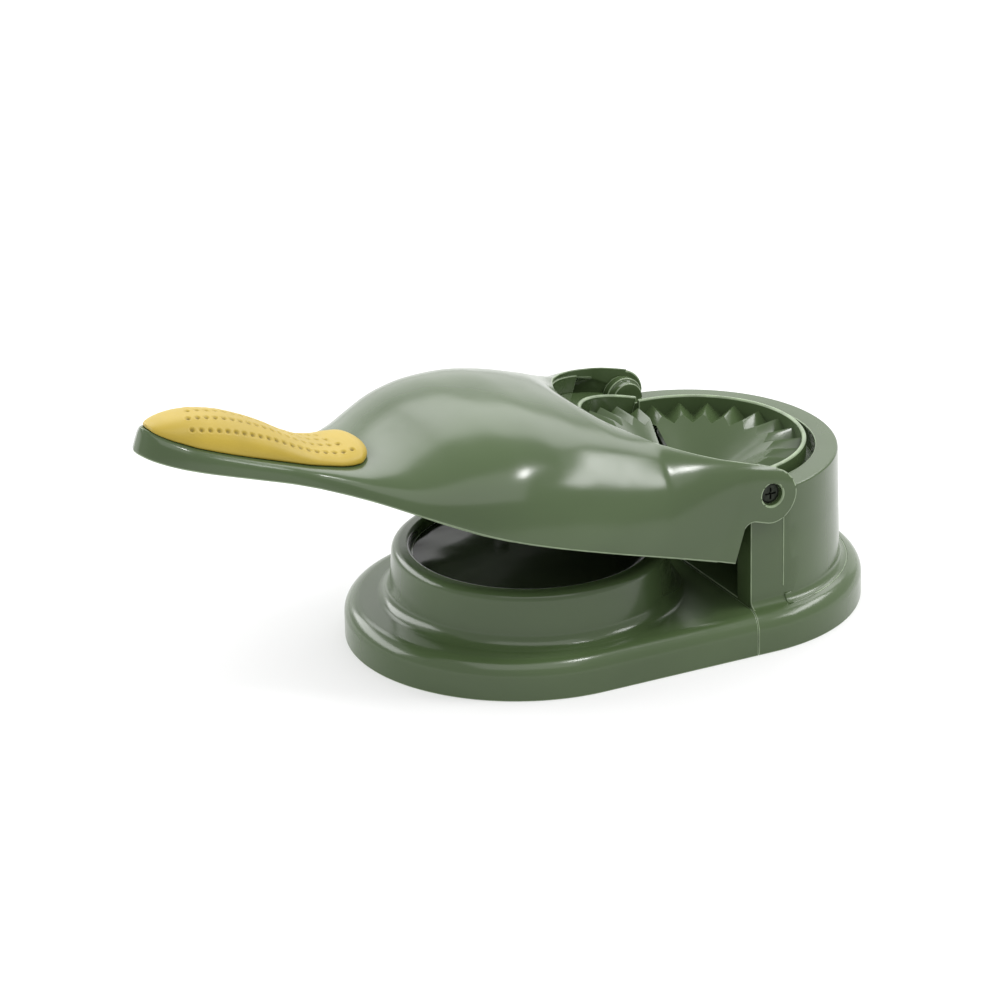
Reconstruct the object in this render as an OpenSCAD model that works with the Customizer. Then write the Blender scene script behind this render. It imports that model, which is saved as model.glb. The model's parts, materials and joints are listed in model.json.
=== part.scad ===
// Empanada press: a foot with a dough-pressing pedestal at one end and a tower
// at the other, and a lever that carries the other press face and the other
// half of a pleated folding mould. The lever turns on one axis that runs along
// the split between the two mould halves.
// Origin: centre of the foot on the table. +X towards the tower, +Z up.
// Lever pieces are drawn shut, with the hinge axis as their origin, -X towards
// the handle's end, and are then tilted up as the press is stored.

/* [Foot] */
// Length of the foot
foot_len = 197.2; // [188:0.2:212]
// Width of the foot
foot_w = 128; // [124:1:138]
// Wall thickness of the base mouldings
base_wall = 2.6; // [2:0.1:3.2]
// Height of the foot's upright edge
foot_edge_h = 8.4; // [7:0.1:9]
// Radius of the foot's rounded shoulder
shoulder_r = 6; // [4:0.5:6.5]
// Radius of a rubber pad
pad_r = 6.5; // [5:0.5:8]

/* [Pedestal] */
// Step of the foot in front of the pedestal
ped_front = 17.9; // [16:0.1:22]
// Least step of the foot beside the pedestal
ped_side = 13.7; // [12.6:0.1:16]
// Distance between the pedestal and the tower's open end
ped_gap = 10.3; // [9:0.1:14]
// Height of the pedestal
ped_h = 34; // [31:0.2:34.4]
// Width of the pedestal's rim, round the recess for the dough
ped_rim = 6.8; // [5.5:0.1:9]
// Depth of the recess
recess_d = 4.4; // [3.6:0.1:5]
// Radius of the pedestal's rounded top edge
ped_round = 3.2; // [2:0.1:5]
// Radius of the hollow at the pedestal's foot
ped_fillet = 5; // [3:0.5:6]
// Thickness of the release film
film_t = 0.5; // [0.3:0.1:0.8]

/* [Tower] */
// Outer radius of the tower at its top
tower_r = 55; // [54.8:0.1:55.4]
// Height of the tower
tower_h = 58.1; // [56:0.1:60]
// Half distance between the tower's two flat sides
flat_y = 54.3; // [54:0.1:54.6]
// Distance of the tower's open end in front of the centre of its wall
open_back = 4.5; // [4:0.1:6]
// Distance that the seam runs forward across the foot's edge
seam_slant = 2.2; // [0:0.1:3]
// Radius of the hollow at the tower's foot
tower_fillet = 3; // [2:0.1:3.2]
// Radius of the well that holds the mould
well_r = 45; // [44.6:0.1:45.6]

/* [Hinge] */
// Distance of the hinge axis behind the centre of the tower's wall
hinge_back = 2; // [1.8:0.1:2.4]
// Height of the hinge axis above the tower's top
hinge_rise = 0.4; // [0.3:0.05:0.8]
// Angle that the lever is raised by, above its shut position
tilt = 17.2; // [0:0.1:60]
// Radius of the lug that stands up round the hinge axis
lug_r = 7.4; // [6.8:0.1:7.6]
// Shoulder radius of the pivot screws
pivot_r = 2.5; // [2:0.1:3]
// Running clearance round the pivot screws
pivot_gap = 0.06; // [0.02:0.01:0.1]
// Radius of the recess for the pivot screw's head
ear_recess_r = 4.1; // [4:0.1:4.6]

/* [Mould] */
// Outer radius of the fixed half's rim
ring_r = 41.8; // [41:0.1:42.2]
// Height of the fixed half's rim above the hinge axis
ring_top = 2.4; // [1.5:0.1:3]
// Thickness of the rims
rim_t = 1.7; // [1.4:0.1:2]
// Height of the moving half's rim above the hinge axis
lip_top = 3; // [2:0.1:3.6]
// Number of pleats in each half
pleats = 12; // [8:1:16]
// Radius where the pleats run out into the bowl
bowl_r = 30; // [28:0.5:31]
// Slope angle of the bowl's wall
bowl_slope = 32.5; // [28:0.5:36]
// Radius of the bowl's rounded bottom
bowl_bottom_r = 16; // [12:1:20]
// Wall thickness of the mould halves
mould_wall = 2; // [1.6:0.1:2.4]

/* [Lever] */
// Length of the lever from the hinge axis to the handle's tip
lever_len = 221; // [205:1:235]
// Distance of the lever's lower edge below the hinge axis
skirt = 27; // [26.6:0.1:27.4]
// Half width of the lever across its ears
ear_y = 58.3; // [58:0.1:58.8]
// Wall thickness of the lever's shell
shell_wall = 2.6; // [2.2:0.1:2.8]
// Half width of the round opening over the mould
open_y = 55.2; // [55:0.1:55.5]
// Clearance round the press disc in the recess
disc_gap = 2; // [1.8:0.1:4]
// Thickness of the press disc
disc_t = 3.8; // [3:0.1:3.9]
// Half width of the grip pad
grip_w = 13.8; // [12:0.1:14.4]

/* [Hidden] */
$fn = 96;

green = [0.42, 0.50, 0.37];
yellow = [0.88, 0.68, 0.22];
steel = [0.70, 0.71, 0.72];
rubber = [0.12, 0.12, 0.12];
film = [0.30, 0.33, 0.32];

// Places shared by the pieces
foot_r = foot_w / 2;
end_x = (foot_len - foot_w) / 2;
seam_x = end_x - open_back;
ped_r = min((foot_r + end_x + seam_x - ped_front - ped_gap) / 2, foot_r - ped_side);
ped_x = seam_x - ped_gap - ped_r;
recess_r = ped_r - ped_rim;
disc_r = recess_r - disc_gap;
deck_h = foot_edge_h + shoulder_r;
draft = 0.9;
hinge_x = end_x + hinge_back;
hinge_z = tower_h + hinge_rise;
hinge = [hinge_x, 0, hinge_z];
seat_gap = 0.3;
fine_gap = 0.05;
eps = 0.01;

function arc(c, r, a0, a1, n = 10) = [for (i = [0 : n]) let (a = a0 + (a1 - a0) * i / n)
    [c[0] + r * cos(a), c[1] + r * sin(a)]];

// Smooth curve through a list of [place, value] knots, with no overshoot
function slope(t, i) = (t[i + 1][1] - t[i][1]) / (t[i + 1][0] - t[i][0]);
function tangent(t, i) =
    i == 0 ? slope(t, 0)
    : i == len(t) - 1 ? slope(t, i - 1)
    : let (a = slope(t, i - 1), b = slope(t, i)) a * b <= 0 ? 0 : 2 * a * b / (a + b);
function through(t, x) = let (
        i = max([0, for (k = [0 : len(t) - 2]) if (t[k][0] <= x) k]),
        d = t[i + 1][0] - t[i][0],
        u = min(max((x - t[i][0]) / d, 0), 1))
    (2 * u * u * u - 3 * u * u + 1) * t[i][1] + (u * u * u - 2 * u * u + u) * d * tangent(t, i)
    + (3 * u * u - 2 * u * u * u) * t[i + 1][1] + (u * u * u - u * u) * d * tangent(t, i + 1);

// Foot
// Outline of the foot's section, from the middle to the edge
function foot_profile() = concat(
    [[0, 0], [foot_r, 0]],
    arc([foot_r - shoulder_r, foot_edge_h], shoulder_r, 0, 90),
    [[0, deck_h + 0.6]]);
function foot_cavity() = concat(
    [[0, -1], [foot_r - base_wall, -1]],
    arc([foot_r - shoulder_r, foot_edge_h], shoulder_r - base_wall, 0, 90),
    [[0, deck_h - base_wall]]);

module stadium_part(outline, x0, x1) {
    // The straight stretch of the foot
    for (side = [0, 1]) mirror([0, side, 0])
        translate([x0, 0, 0]) rotate([90, 0, 90]) linear_extrude(x1 - x0) polygon(outline);
}

module half_round(outline, turn) {
    rotate([0, 0, turn]) rotate_extrude(angle = 180) polygon(outline);
}

// Everything in front of the seam, which runs forward across the foot's edge
module seam_front(inset) {
    edge_x = seam_x - inset - seam_slant * (foot_w - flat_y) / (foot_r - flat_y);
    translate([0, 0, -foot_w]) linear_extrude(2 * foot_w) polygon([
        [-foot_len, -foot_w], [edge_x, -foot_w], [seam_x - inset, -flat_y],
        [seam_x - inset, flat_y], [edge_x, foot_w], [-foot_len, foot_w]]);
}

module front_foot(outline, inset = 0) {
    translate([-end_x, 0, 0]) half_round(outline, 90);
    intersection() {
        stadium_part(outline, -end_x, seam_x);
        seam_front(fine_gap + inset);
    }
}

module rear_foot(outline, inset = 0) {
    translate([end_x, 0, 0]) half_round(outline, -90);
    difference() {
        stadium_part(outline, seam_x - 2 * seam_slant, end_x);
        seam_front(-fine_gap - inset);
    }
}

module pedestal_solid() {
    translate([ped_x, 0, 0]) rotate_extrude() polygon(concat(
        [[0, deck_h - 1], [ped_r + draft + ped_fillet + 1, deck_h - 1],
            [ped_r + draft + ped_fillet, deck_h + 0.1]],
        arc([ped_r + draft + ped_fillet, deck_h + 0.1 + ped_fillet], ped_fillet, -90, -180),
        arc([ped_r - ped_round, ped_h - ped_round], ped_round, 0, 90),
        [[0, ped_h]]));
}

screw_post_r = 4;
ped_post_a = [180, 112, -112, 52, -52];
tower_post_a = [74, -74, 0];
ped_post = [for (a = ped_post_a) [ped_x + (ped_r + 4) * cos(a), (ped_r + 4) * sin(a)]];
tower_post = [for (a = tower_post_a) [end_x + (tower_r - 3.2) * cos(a), (tower_r - 3.2) * sin(a)]];
base_post = concat(ped_post, tower_post);
module post(p, top) {
    translate([p[0], p[1], bottom_t + fine_gap])
        cylinder(r = screw_post_r, h = top - bottom_t);
}
module post_hole(p, top) {
    translate([p[0], p[1], -1]) cylinder(r = base_screw_r + fine_gap, h = top - 1);
}

bottom_t = 2;
base_screw_r = 1.5;
post_top = deck_h - base_wall + 0.5;

module base_front() {
    color(green) difference() {
        union() {
            difference() {
                union() {
                    front_foot(foot_profile());
                    pedestal_solid();
                }
                front_foot(foot_cavity(), base_wall);
                plate_space();
                translate([ped_x, 0, -1])
                    cylinder(r = ped_r - base_wall, h = ped_h - recess_d - base_wall + 1);
            }
            for (p = ped_post) post(p, post_top);
        }
        translate([ped_x, 0, 0]) rotate_extrude() polygon(concat(
            [[0, ped_h - recess_d], [recess_r, ped_h - recess_d]],
            arc([recess_r + recess_round, ped_h - recess_round], recess_round, 180, 90, 5),
            [[recess_r + recess_round, ped_h + 1], [0, ped_h + 1]]));
        for (p = ped_post) post_hole(p, post_top);
    }
}

recess_round = 1.2;
tower_round = 0.8;
shelf_drop = 9.5;
shelf_z = hinge_z - shelf_drop;
shelf_in = 38;
shelf_t = 3;
module tower_solid() {
    intersection() {
        translate([end_x, 0, 0]) rotate_extrude() polygon(concat(
            [[0, deck_h - 2], [tower_r + draft + tower_fillet, deck_h - 2],
                [tower_r + draft + tower_fillet, deck_h]],
            arc([tower_r + draft + tower_fillet, deck_h + tower_fillet], tower_fillet, -90, -180),
            arc([tower_r - tower_round, tower_h - tower_round], tower_round, 0, 90),
            [[0, tower_h]]));
        union() {
            translate([seam_x + fine_gap, -flat_y, 0])
                cube([foot_len, 2 * flat_y, tower_h + 1]);
            translate([seam_x + 14, -foot_r, 0]) cube([foot_len, foot_w, deck_h + tower_fillet]);
        }
    }
    // Fillets along the foot of the two flat sides
    for (side = [0, 1]) mirror([0, side, 0])
        translate([seam_x + fine_gap, flat_y, deck_h]) rotate([90, 0, 90])
            linear_extrude(14) polygon(concat(
                [[-1, -1], [tower_fillet, -1]],
                arc([tower_fillet, tower_fillet], tower_fillet, -90, -180),
                [[-1, tower_fillet]]));
}

boss_r = lug_r - 1.2;
lug_in = 51;
boss_in = 48.3;
lever_gap = 0.3;
ear_face = flat_y + lever_gap;
pilot_r = 1.8;
pilot_end = boss_in + 1;

module lugs() {
    for (side = [0, 1]) mirror([0, side, 0]) {
        translate(hinge + [0, flat_y, 0]) rotate([90, 0, 0]) cylinder(r = lug_r, h = flat_y - lug_in);
        translate(hinge + [0, flat_y, 0]) rotate([90, 0, 0]) cylinder(r = boss_r, h = flat_y - boss_in);
    }
}

well_floor = deck_h + 0.6;
module base_tower() {
    color(green) difference() {
        union() {
            difference() {
                union() {
                    rear_foot(foot_profile());
                    tower_solid();
                }
                rear_foot(foot_cavity(), base_wall);
                plate_space();
                // Hollow between the tower's outer wall and the wall of its well
                difference() {
                    intersection() {
                        translate([end_x, 0, -1])
                            cylinder(r = tower_r - base_wall, h = tower_h - base_wall + 1);
                        translate([seam_x + base_wall, -flat_y + base_wall, -1])
                            cube([foot_len, 2 * (flat_y - base_wall), foot_len]);
                    }
                    translate([hinge_x, 0, deck_h - base_wall])
                        cylinder(r = well_r + base_wall, h = foot_len);
                }
                // The well, open at the top and towards the pedestal
                translate([hinge_x, 0, well_floor]) cylinder(r = well_r, h = foot_len);
            }
            // Shelf that the fixed half of the mould rests on
            intersection() {
                translate([hinge_x, 0, shelf_z - shelf_t]) difference() {
                    cylinder(r = well_r + 1, h = shelf_t);
                    translate([0, 0, -1]) cylinder(r = shelf_in, h = shelf_t + 2);
                }
                translate([hinge_x + 1, -foot_w, 0]) cube(2 * foot_w);
            }
            lugs();
            for (p = tower_post) post(p, post_top);
        }
        for (p = tower_post) post_hole(p, post_top);
        for (side = [0, 1]) mirror([0, side, 0])
            translate(hinge + [0, flat_y + 1, 0]) rotate([90, 0, 0])
                cylinder(r = pilot_r, h = flat_y + 1 - pilot_end);
        for (a = mould_screw_a) translate(hinge) rotate([0, 0, a])
            translate([mould_screw_at, 0, -shelf_drop - 10]) cylinder(r = small_screw_r + fine_gap, h = 11);
    }
}

// Space for the bottom plate inside the foot's edge
module plate_space() {
    inset = base_wall + eps;
    translate([0, 0, -1]) {
        for (side = [-1, 1]) translate([side * end_x, 0, 0])
            cylinder(r = foot_r - inset, h = bottom_t + fine_gap + 1);
        translate([-end_x, -foot_r + inset, 0])
            cube([2 * end_x, foot_w - 2 * inset, bottom_t + fine_gap + 1]);
    }
}

module bottom_plate() {
    inset = base_wall + seat_gap;
    color(green) difference() {
        union() {
            for (side = [-1, 1]) translate([side * end_x, 0, 0])
                cylinder(r = foot_r - inset, h = bottom_t);
            translate([-end_x, -foot_r + inset, 0]) cube([2 * end_x, foot_w - 2 * inset, bottom_t]);
        }
        for (p = base_post) translate([p[0], p[1], -1]) {
            cylinder(r = base_screw_r + fine_gap, h = bottom_t + 2);
            cylinder(r = base_screw_head_r + seat_gap, h = 1 + head_seat);
        }
        for (i = [1 : 4]) translate(concat(pad_at(i), [-1])) cylinder(r = pad_r + fine_gap, h = 1 + pad_t);
    }
}

base_screw_head_r = 2.8;
head_seat = 1;
module base_screws() {
    color(steel) for (p = base_post) translate([p[0], p[1], head_seat]) {
        translate([0, 0, -0.8]) difference() {
            cylinder(r = base_screw_head_r, h = 0.8);
            cross_recess(1.6);
        }
        translate([0, 0, -eps]) cylinder(r = base_screw_r, h = post_top - 3);
    }
}

module cross_recess(size) {
    for (a = [0, 90]) rotate([0, 0, a]) translate([-size, -0.35, -1]) cube([2 * size, 0.7, 1.5]);
}

pad_t = 1.2;
pad_in = 36;
pad_y = 33;
function pad_at(i) = [(i < 3 ? -1 : 1) * (end_x + foot_r - pad_in), (i % 2 == 0 ? 1 : -1) * pad_y];
module foot_pad(i) {
    color(rubber) translate(concat(pad_at(i), [0])) rotate_extrude() polygon([
        [0, 0], [pad_r - 0.4, 0], [pad_r, 0.4], [pad_r, pad_t], [0, pad_t]]);
}

module release_film() {
    color(film) translate([ped_x, 0, ped_h - recess_d])
        cylinder(r = recess_r - seat_gap, h = film_t);
}

// Mould halves
// Heights are over the hinge axis, and each pleat folds from a valley to a crest
tangent_r = bowl_bottom_r * sin(bowl_slope);
crest_in_h = -1.2;
crest_out_h = -0.4;
valley_out_h = -5.4;
valley_in_r = 27.4;
split_gap = 0.3;
function bowl_wall(r) = crest_in_h - (bowl_r - r) * tan(bowl_slope);
bowl_centre_h = bowl_wall(tangent_r) + bowl_bottom_r * cos(bowl_slope);
function bowl(r) = r < tangent_r
    ? bowl_centre_h - sqrt(pow(bowl_bottom_r, 2) - pow(r, 2)) : bowl_wall(r);

// One radial line of the pleated bowl, from near the middle to the rim: fold
// is 0 along a valley and 1 along a crest
bowl_rings = [bowl_bottom_r * sin(bowl_slope / 3), bowl_bottom_r * sin(bowl_slope * 2 / 3), tangent_r, 18];
function bowl_line(fold, r_out) = let (r_break = valley_in_r + fold * (bowl_r - valley_in_r)) concat(
    [for (r = bowl_rings) [r, bowl(r)]],
    [[r_break, bowl(r_break)], [r_out, valley_out_h + fold * (crest_out_h - valley_out_h)]]);

// Half of the pleated bowl, as a wall that follows the folds on both faces
fold_steps = 4;
module pleated_bowl(r_out, start) {
    n = fold_steps * pleats;
    m = len(bowl_rings) + 2;
    under = mould_wall / cos(bowl_slope);
    lines = [for (k = [0 : n]) let (
            a = -90 + 180 * k / n, f = 1 - abs((k + start) % fold_steps - fold_steps / 2) * 2 / fold_steps)
        [for (q = bowl_line(f, r_out)) [q[0] * cos(a), q[0] * sin(a), q[1]]]];
    pts = concat([[0, 0, bowl(0)], [0, 0, bowl(0) - under]],
        [for (line = lines) each line], [for (line = lines) for (q = line) q - [0, 0, under]]);
    function top(k, i) = 2 + k * m + i;
    function low(k, i) = top(k, i) + (n + 1) * m;
    function quad(a, b, c, d) = [[a, b, c], [a, c, d]];
    polyhedron(pts, concat(
        [for (k = [0 : n - 1]) each [[0, top(k + 1, 0), top(k, 0)], [1, low(k, 0), low(k + 1, 0)]]],
        [for (k = [0 : n - 1]) for (i = [0 : m - 2]) each concat(
            quad(top(k, i), top(k + 1, i), top(k + 1, i + 1), top(k, i + 1)),
            quad(low(k, i), low(k, i + 1), low(k + 1, i + 1), low(k + 1, i)))],
        [for (k = [0 : n - 1]) each
            quad(top(k, m - 1), top(k + 1, m - 1), low(k + 1, m - 1), low(k, m - 1))],
        [for (i = [0 : m - 2]) each concat(
            quad(top(0, i), top(0, i + 1), low(0, i + 1), low(0, i)),
            quad(top(n, i), low(n, i), low(n, i + 1), top(n, i + 1)))],
        quad(0, top(0, 0), low(0, 0), 1), quad(0, 1, low(n, 0), top(n, 0))));
}

mould_screw_a = [-60, 0, 60];
mould_screw_at = 42;
ring_flange_t = 2.2;
well_gap = 0.4;

// The half that stays in the tower, round the side away from the pedestal
module fixed_mould_half() {
    color(green) translate(hinge) difference() {
        union() {
            intersection() {
                rotate_extrude() polygon(concat(
                    [[ring_r - rim_t, -shelf_drop], [well_r - well_gap, -shelf_drop],
                        [well_r - well_gap, -shelf_drop + ring_flange_t],
                        [ring_r, -shelf_drop + ring_flange_t]],
                    arc([ring_r - rim_t / 2, ring_top - rim_t / 2], rim_t / 2, 0, 180, 8)));
                translate([split_gap, -foot_w, -foot_w]) cube(2 * foot_w);
            }
            translate([split_gap, 0, 0]) pleated_bowl(ring_r - rim_t / 2 - split_gap, 0);
        }
        for (a = mould_screw_a) rotate([0, 0, a])
            translate([mould_screw_at, 0, -shelf_drop - 1]) cylinder(r = pilot_small_r, h = 3);
    }
}

module mould_screws() {
    color(steel) for (a = mould_screw_a) translate(hinge) rotate([0, 0, a])
        translate([mould_screw_at, 0, -shelf_drop - shelf_t]) rotate([180, 0, 0])
            small_screw(shelf_t + 1.8);
}

// Lever
// Half width of the shell's lower edge, along the lever
plan = [[-10, ear_y], [8, ear_y], [20, ear_y + 0.4], [36, ear_y + 1.3], [58, ear_y + 3.1],
    [78, ear_y + 3.6], [95, ear_y + 2.2], [108, 56.4], [119, 48.8], [130, 39.2], [139, 30.8],
    [146, 26], [153, 22.2], [160, 19.4], [170, 17.6], [184, 17.1], [198, 16.5], [207, 15],
    [213, 12.4], [217, 9.4], [219.6, 5.6], [221, 1.6]];
// Height of the dome's middle line, also where the opening is cut out of it
crown = [[-10, 12], [20, 12.2], [36, 12.5], [54, 12.9], [71, 13.2], [84, 12.2], [100, 7.6],
    [112, 0.9], [122, -7.2], [128, -11.8], [134, -15.2], [141, -17.8], [150, -19.4], [162, -20.4],
    [176, -20.1], [198, -19], [212, -18], [221, -17.6]];
// Squareness of the shell's section: 2 is an ellipse, and more is boxier
square = [[-10, 12], [0, 12], [12, 9.4], [20, 6.6], [28, 4.7], [36, 3.4], [42, 2.8], [56, 2.5],
    [71, 2.4], [112, 2.35], [126, 2.4], [140, 3], [152, 4], [168, 5], [221, 4]];
// Depth that the opening's edge is rolled in by, towards its end
roll = [[0, 0], [34, 0], [42, 0.6], [48, 2.2], [52, 3.7], [55, 4.6]];
roll_w = 14;

open_x = open_y - 0.8;
function open_half(s) = s >= open_x ? 0 : s <= 0 ? open_y : open_y * sqrt(1 - pow(s / open_x, 2));

// Height of a shell of half width w and middle height top at a half width y
function dome(s, y, w, top) = let (
        p = through(square, s),
        q = norm([max(s, 0) / open_x, y / open_y]),
        d = max((q - 1) * open_x / roll_w, 0))
    -skirt + (top + skirt) * pow(max(1 - pow(min(y / w, 1), p), 0), 1 / p)
    - (d < 1 ? through(roll, max(s, 0) / max(q, 1)) * pow(1 - d, 2) : 0);

// Point of the shell's section at a place along the lever: t runs from 0 at
// the lower edge to 90 at the middle line or the opening's edge
function section(s, t, w, top) = let (
        y0 = open_half(s),
        y = y0 + max(w - y0, 0.02) * pow(cos(t), max(2 / through(square, s), 0.5)))
    [y, dome(s, y, w, top)];

// Half width of the shell's inner face at a height
function inner_half(s, h) = let (
        p = through(square, s), k = (h + skirt) / (through(crown, s) - shell_wall + skirt))
    (through(plan, s) - shell_wall) * pow(max(1 - pow(k, p), 0), 1 / p);

// Height of the shell's outer face at a half width
function shell_over(s, y) = dome(s, y, through(plan, s), through(crown, s));

stations = [-10, -4, 2, 8, 14, 20, 26, 31.5, 36.5, 41, 45, 48.3, 51, 52.9, 54, open_x,
    56.2, 58.6, 61.4, 64.6, 68.4, 73, 78, 83.4, 89, 94.6, 100, 105, 109.6, 114, 118, 121.8,
    125.4, 128.8, 132, 135.4, 139, 143, 147.4, 152.4, 158, 164.6, 172, 180, 188.4, 197, 204.6,
    210.6, 215, 218, 220, 221];
first_full = 15;
rows = 12;
tip_start = 200;
tip_inner = 3;

// The lists above are drawn for a lever of this length
drawn_len = 221;
function stretch(s) = s * lever_len / drawn_len;
function inner_place(s) = s < tip_start ? s
    : tip_start + (s - tip_start) * (drawn_len - tip_start - tip_inner) / (drawn_len - tip_start);
function inner_width(s) = let (w = through(plan, s)) max(w - shell_wall, 0.3 * w);

// One ring of the shell at a station: near side up to the middle, then down
// the far side, with the middle point kept twice
function ring(s, inner) = [for (side = [-1, 1]) for (j = [0 : rows]) let (
        t = 90 * (side < 0 ? j : rows - j) / rows,
        q = section(s, t, inner ? inner_width(s) : through(plan, s),
            through(crown, s) - (inner ? shell_wall : 0)))
    [-stretch(inner ? inner_place(s) : s), side * q[0], q[1]]];

module shell_loft() {
    n = len(stations);
    c = 2 * rows + 2;
    pts = concat([for (s = stations) each ring(s, false)], [for (s = stations) each ring(s, true)]);
    // Past the opening's end both middle points are one
    function id(i, j, inner) = (inner ? n * c : 0) + i * c
        + (i >= first_full && j == rows + 1 ? rows : j);
    function quad(a, b, c2, d) = [[a, b, c2], [a, c2, d]];
    walls = [for (i = [0 : n - 2]) for (j = [0 : c - 2]) if (j != rows)
        each concat(
            quad(id(i, j, false), id(i + 1, j, false), id(i + 1, j + 1, false), id(i, j + 1, false)),
            quad(id(i, j, true), id(i, j + 1, true), id(i + 1, j + 1, true), id(i + 1, j, true)))];
    rim = [for (i = [0 : n - 2]) each concat(
        quad(id(i, 0, false), id(i, 0, true), id(i + 1, 0, true), id(i + 1, 0, false)),
        quad(id(i, c - 1, false), id(i + 1, c - 1, false), id(i + 1, c - 1, true), id(i, c - 1, true)))];
    edge = [for (i = [0 : first_full - 1]) each concat(
        quad(id(i, rows, false), id(i + 1, rows, false), id(i + 1, rows, true), id(i, rows, true)),
        quad(id(i, rows + 1, false), id(i, rows + 1, true), id(i + 1, rows + 1, true),
            id(i + 1, rows + 1, false)))];
    rear = [for (j = [0 : c - 2]) if (j != rows)
        each quad(id(0, j, false), id(0, j + 1, false), id(0, j + 1, true), id(0, j, true))];
    // The tip is a wall of its own: an outer face, an inner face and a lower edge
    m = n - 1;
    function half(j) = c - 1 - j;
    tip = [for (j = [0 : rows - 1]) each concat(
        quad(id(m, j, false), id(m, half(j), false), id(m, half(j + 1), false), id(m, j + 1, false)),
        quad(id(m, j, true), id(m, j + 1, true), id(m, half(j + 1), true), id(m, half(j), true)))];
    tip_edge = quad(id(m, 0, false), id(m, 0, true), id(m, c - 1, true), id(m, c - 1, false));
    polyhedron(pts, [for (f = concat(walls, rim, edge, rear, tip, tip_edge))
        if (f[0] != f[1] && f[1] != f[2] && f[2] != f[0]) f]);
}

// The ear's outline seen from the side, as the part cut away behind it
ear_r = 9.2;
ear_back = 0.9;
rear_s = 7.6;
neck_r = 4;
module behind_ear() {
    rotate([90, 0, 0]) linear_extrude(3 * ear_y, center = true) difference() {
        translate([-rear_s, -2 * skirt]) square([5 * rear_s, 4 * skirt]);
        translate([ear_back, 0]) difference() {
            union() {
                translate([0, 0]) circle(r = ear_r);
                translate([-ear_r - rear_s, -ear_r]) square([ear_r + rear_s, 3 * ear_r]);
            }
        }
        // Rounded inner corner under the ear
        difference() {
            translate([-rear_s - 1, -ear_r - neck_r]) square([neck_r + 1, neck_r + 1]);
            translate([-rear_s + neck_r, -ear_r - neck_r]) circle(r = neck_r);
        }
    }
}

module ear_top_round() {
    // The upper rear corner of the ear
    rotate([90, 0, 0]) linear_extrude(3 * ear_y, center = true) difference() {
        translate([ear_back, 0]) square(3 * ear_r);
        translate([ear_back, 0]) circle(r = ear_r);
    }
}

collar_t = 1.8;
ledge_top = hinge_rise - lever_gap;
ledge_t = 2;
pivot_ledge = 1;

module lever_shell() {
    color(green) translate(hinge) rotate([0, tilt, 0]) difference() {
        union() {
            difference() {
                shell_loft();
                behind_ear();
                ear_top_round();
            }
            // Collar that closes the shell under the opening's edge
            intersection() {
                rotate_extrude() polygon([
                    [open_x, ledge_top - ledge_t], [open_x + collar_t, ledge_top - ledge_t],
                    [open_x + collar_t, 6.6], [open_x, 6.6]]);
                translate([-foot_w - 24, -foot_w, -foot_w]) cube([foot_w, 2 * foot_w, 2 * foot_w]);
            }
            for (side = [0, 1]) mirror([0, side, 0])
                translate([0, ear_y - shell_wall + 0.4, 0]) rotate([90, 0, 0])
                    cylinder(r = lug_r - 0.4, h = ear_y - shell_wall + 0.4 - ear_face);
            // Posts that take the tray's screws
            for (p = tray_screw_at) translate([p[0], p[1], tray_low + tray_t + fine_gap])
                cylinder(r = shell_post_r, h = shell_over(-p[0], abs(p[1]) + shell_post_r) - 1
                    - tray_low - tray_t);
        }
        for (p = tray_screw_at) translate([p[0], p[1], tray_low])
            cylinder(r = pilot_small_r, h = tray_t + 4);
        for (side = [0, 1]) mirror([0, side, 0]) {
            translate([0, ear_y + 1, 0]) rotate([90, 0, 0])
                cylinder(r = pivot_r + pivot_gap, h = ear_y);
            translate([0, ear_y + 1, 0]) rotate([90, 0, 0])
                cylinder(r = ear_recess_r, h = ear_y + 1 - ear_face - pivot_ledge);
        }
    }
}

module pivot_screw(side) {
    head_at = ear_face + pivot_ledge + fine_gap;
    color(steel) translate(hinge) mirror([0, side, 0]) translate([0, -flat_y, 0]) rotate([90, 0, 0]) {
        cylinder(r = pivot_r, h = head_at - flat_y);
        translate([0, 0, -(flat_y - pilot_end) + 0.3])
            cylinder(r = pilot_r - fine_gap, h = flat_y - pilot_end);
        translate([0, 0, head_at - flat_y - eps]) difference() {
            cylinder(r = ear_recess_r - 0.4, h = 1.1);
            translate([0, 0, 1.6]) cross_recess(2.2);
        }
    }
}

// Tray that closes the lever from below
tray_t = 2.5;
tray_low = -skirt + 3.2;
tray_lip = -skirt - 1;
tray_s0 = 9;
tray_s1 = 138;
tray_places = [tray_s0, 20, 32, 42, 52, 62, 72, 82, 92, 101, 109, 116, 122, 128, 133, tray_s1];
function tray_outline(h, inset) = concat(
    [for (s = tray_places) [-stretch(s), -inner_half(s, h) + inset]],
    [for (i = [len(tray_places) - 1 : -1 : 0]) let (s = tray_places[i])
        [-stretch(s), inner_half(s, h) - inset]]);
tray_rim_t = 2.2;
press_s = hinge_x - ped_x;

module lever_tray() {
    color(green) translate(hinge) rotate([0, tilt, 0]) difference() {
        translate([0, 0, tray_lip]) linear_extrude(tray_low + tray_t - tray_lip)
            polygon(tray_outline(tray_low + tray_t, seat_gap));
        translate([0, 0, tray_lip - 1]) linear_extrude(tray_low - tray_lip + 1) intersection() {
            polygon(tray_outline(tray_low + tray_t, seat_gap + tray_rim_t));
            translate([-stretch(tray_s1) + tray_rim_t, -foot_w])
                square([foot_len, 2 * foot_w]);
        }
        translate([-tray_s0 - 4, -foot_w, tray_lip - 1])
            cube([foot_w, 2 * foot_w, tray_low - tray_lip + 1]);
        for (p = concat(disc_screw_at, tray_screw_at)) translate([p[0], p[1], tray_low - 1])
            cylinder(r = small_screw_r + fine_gap, h = tray_t + 2);
    }
}

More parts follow.
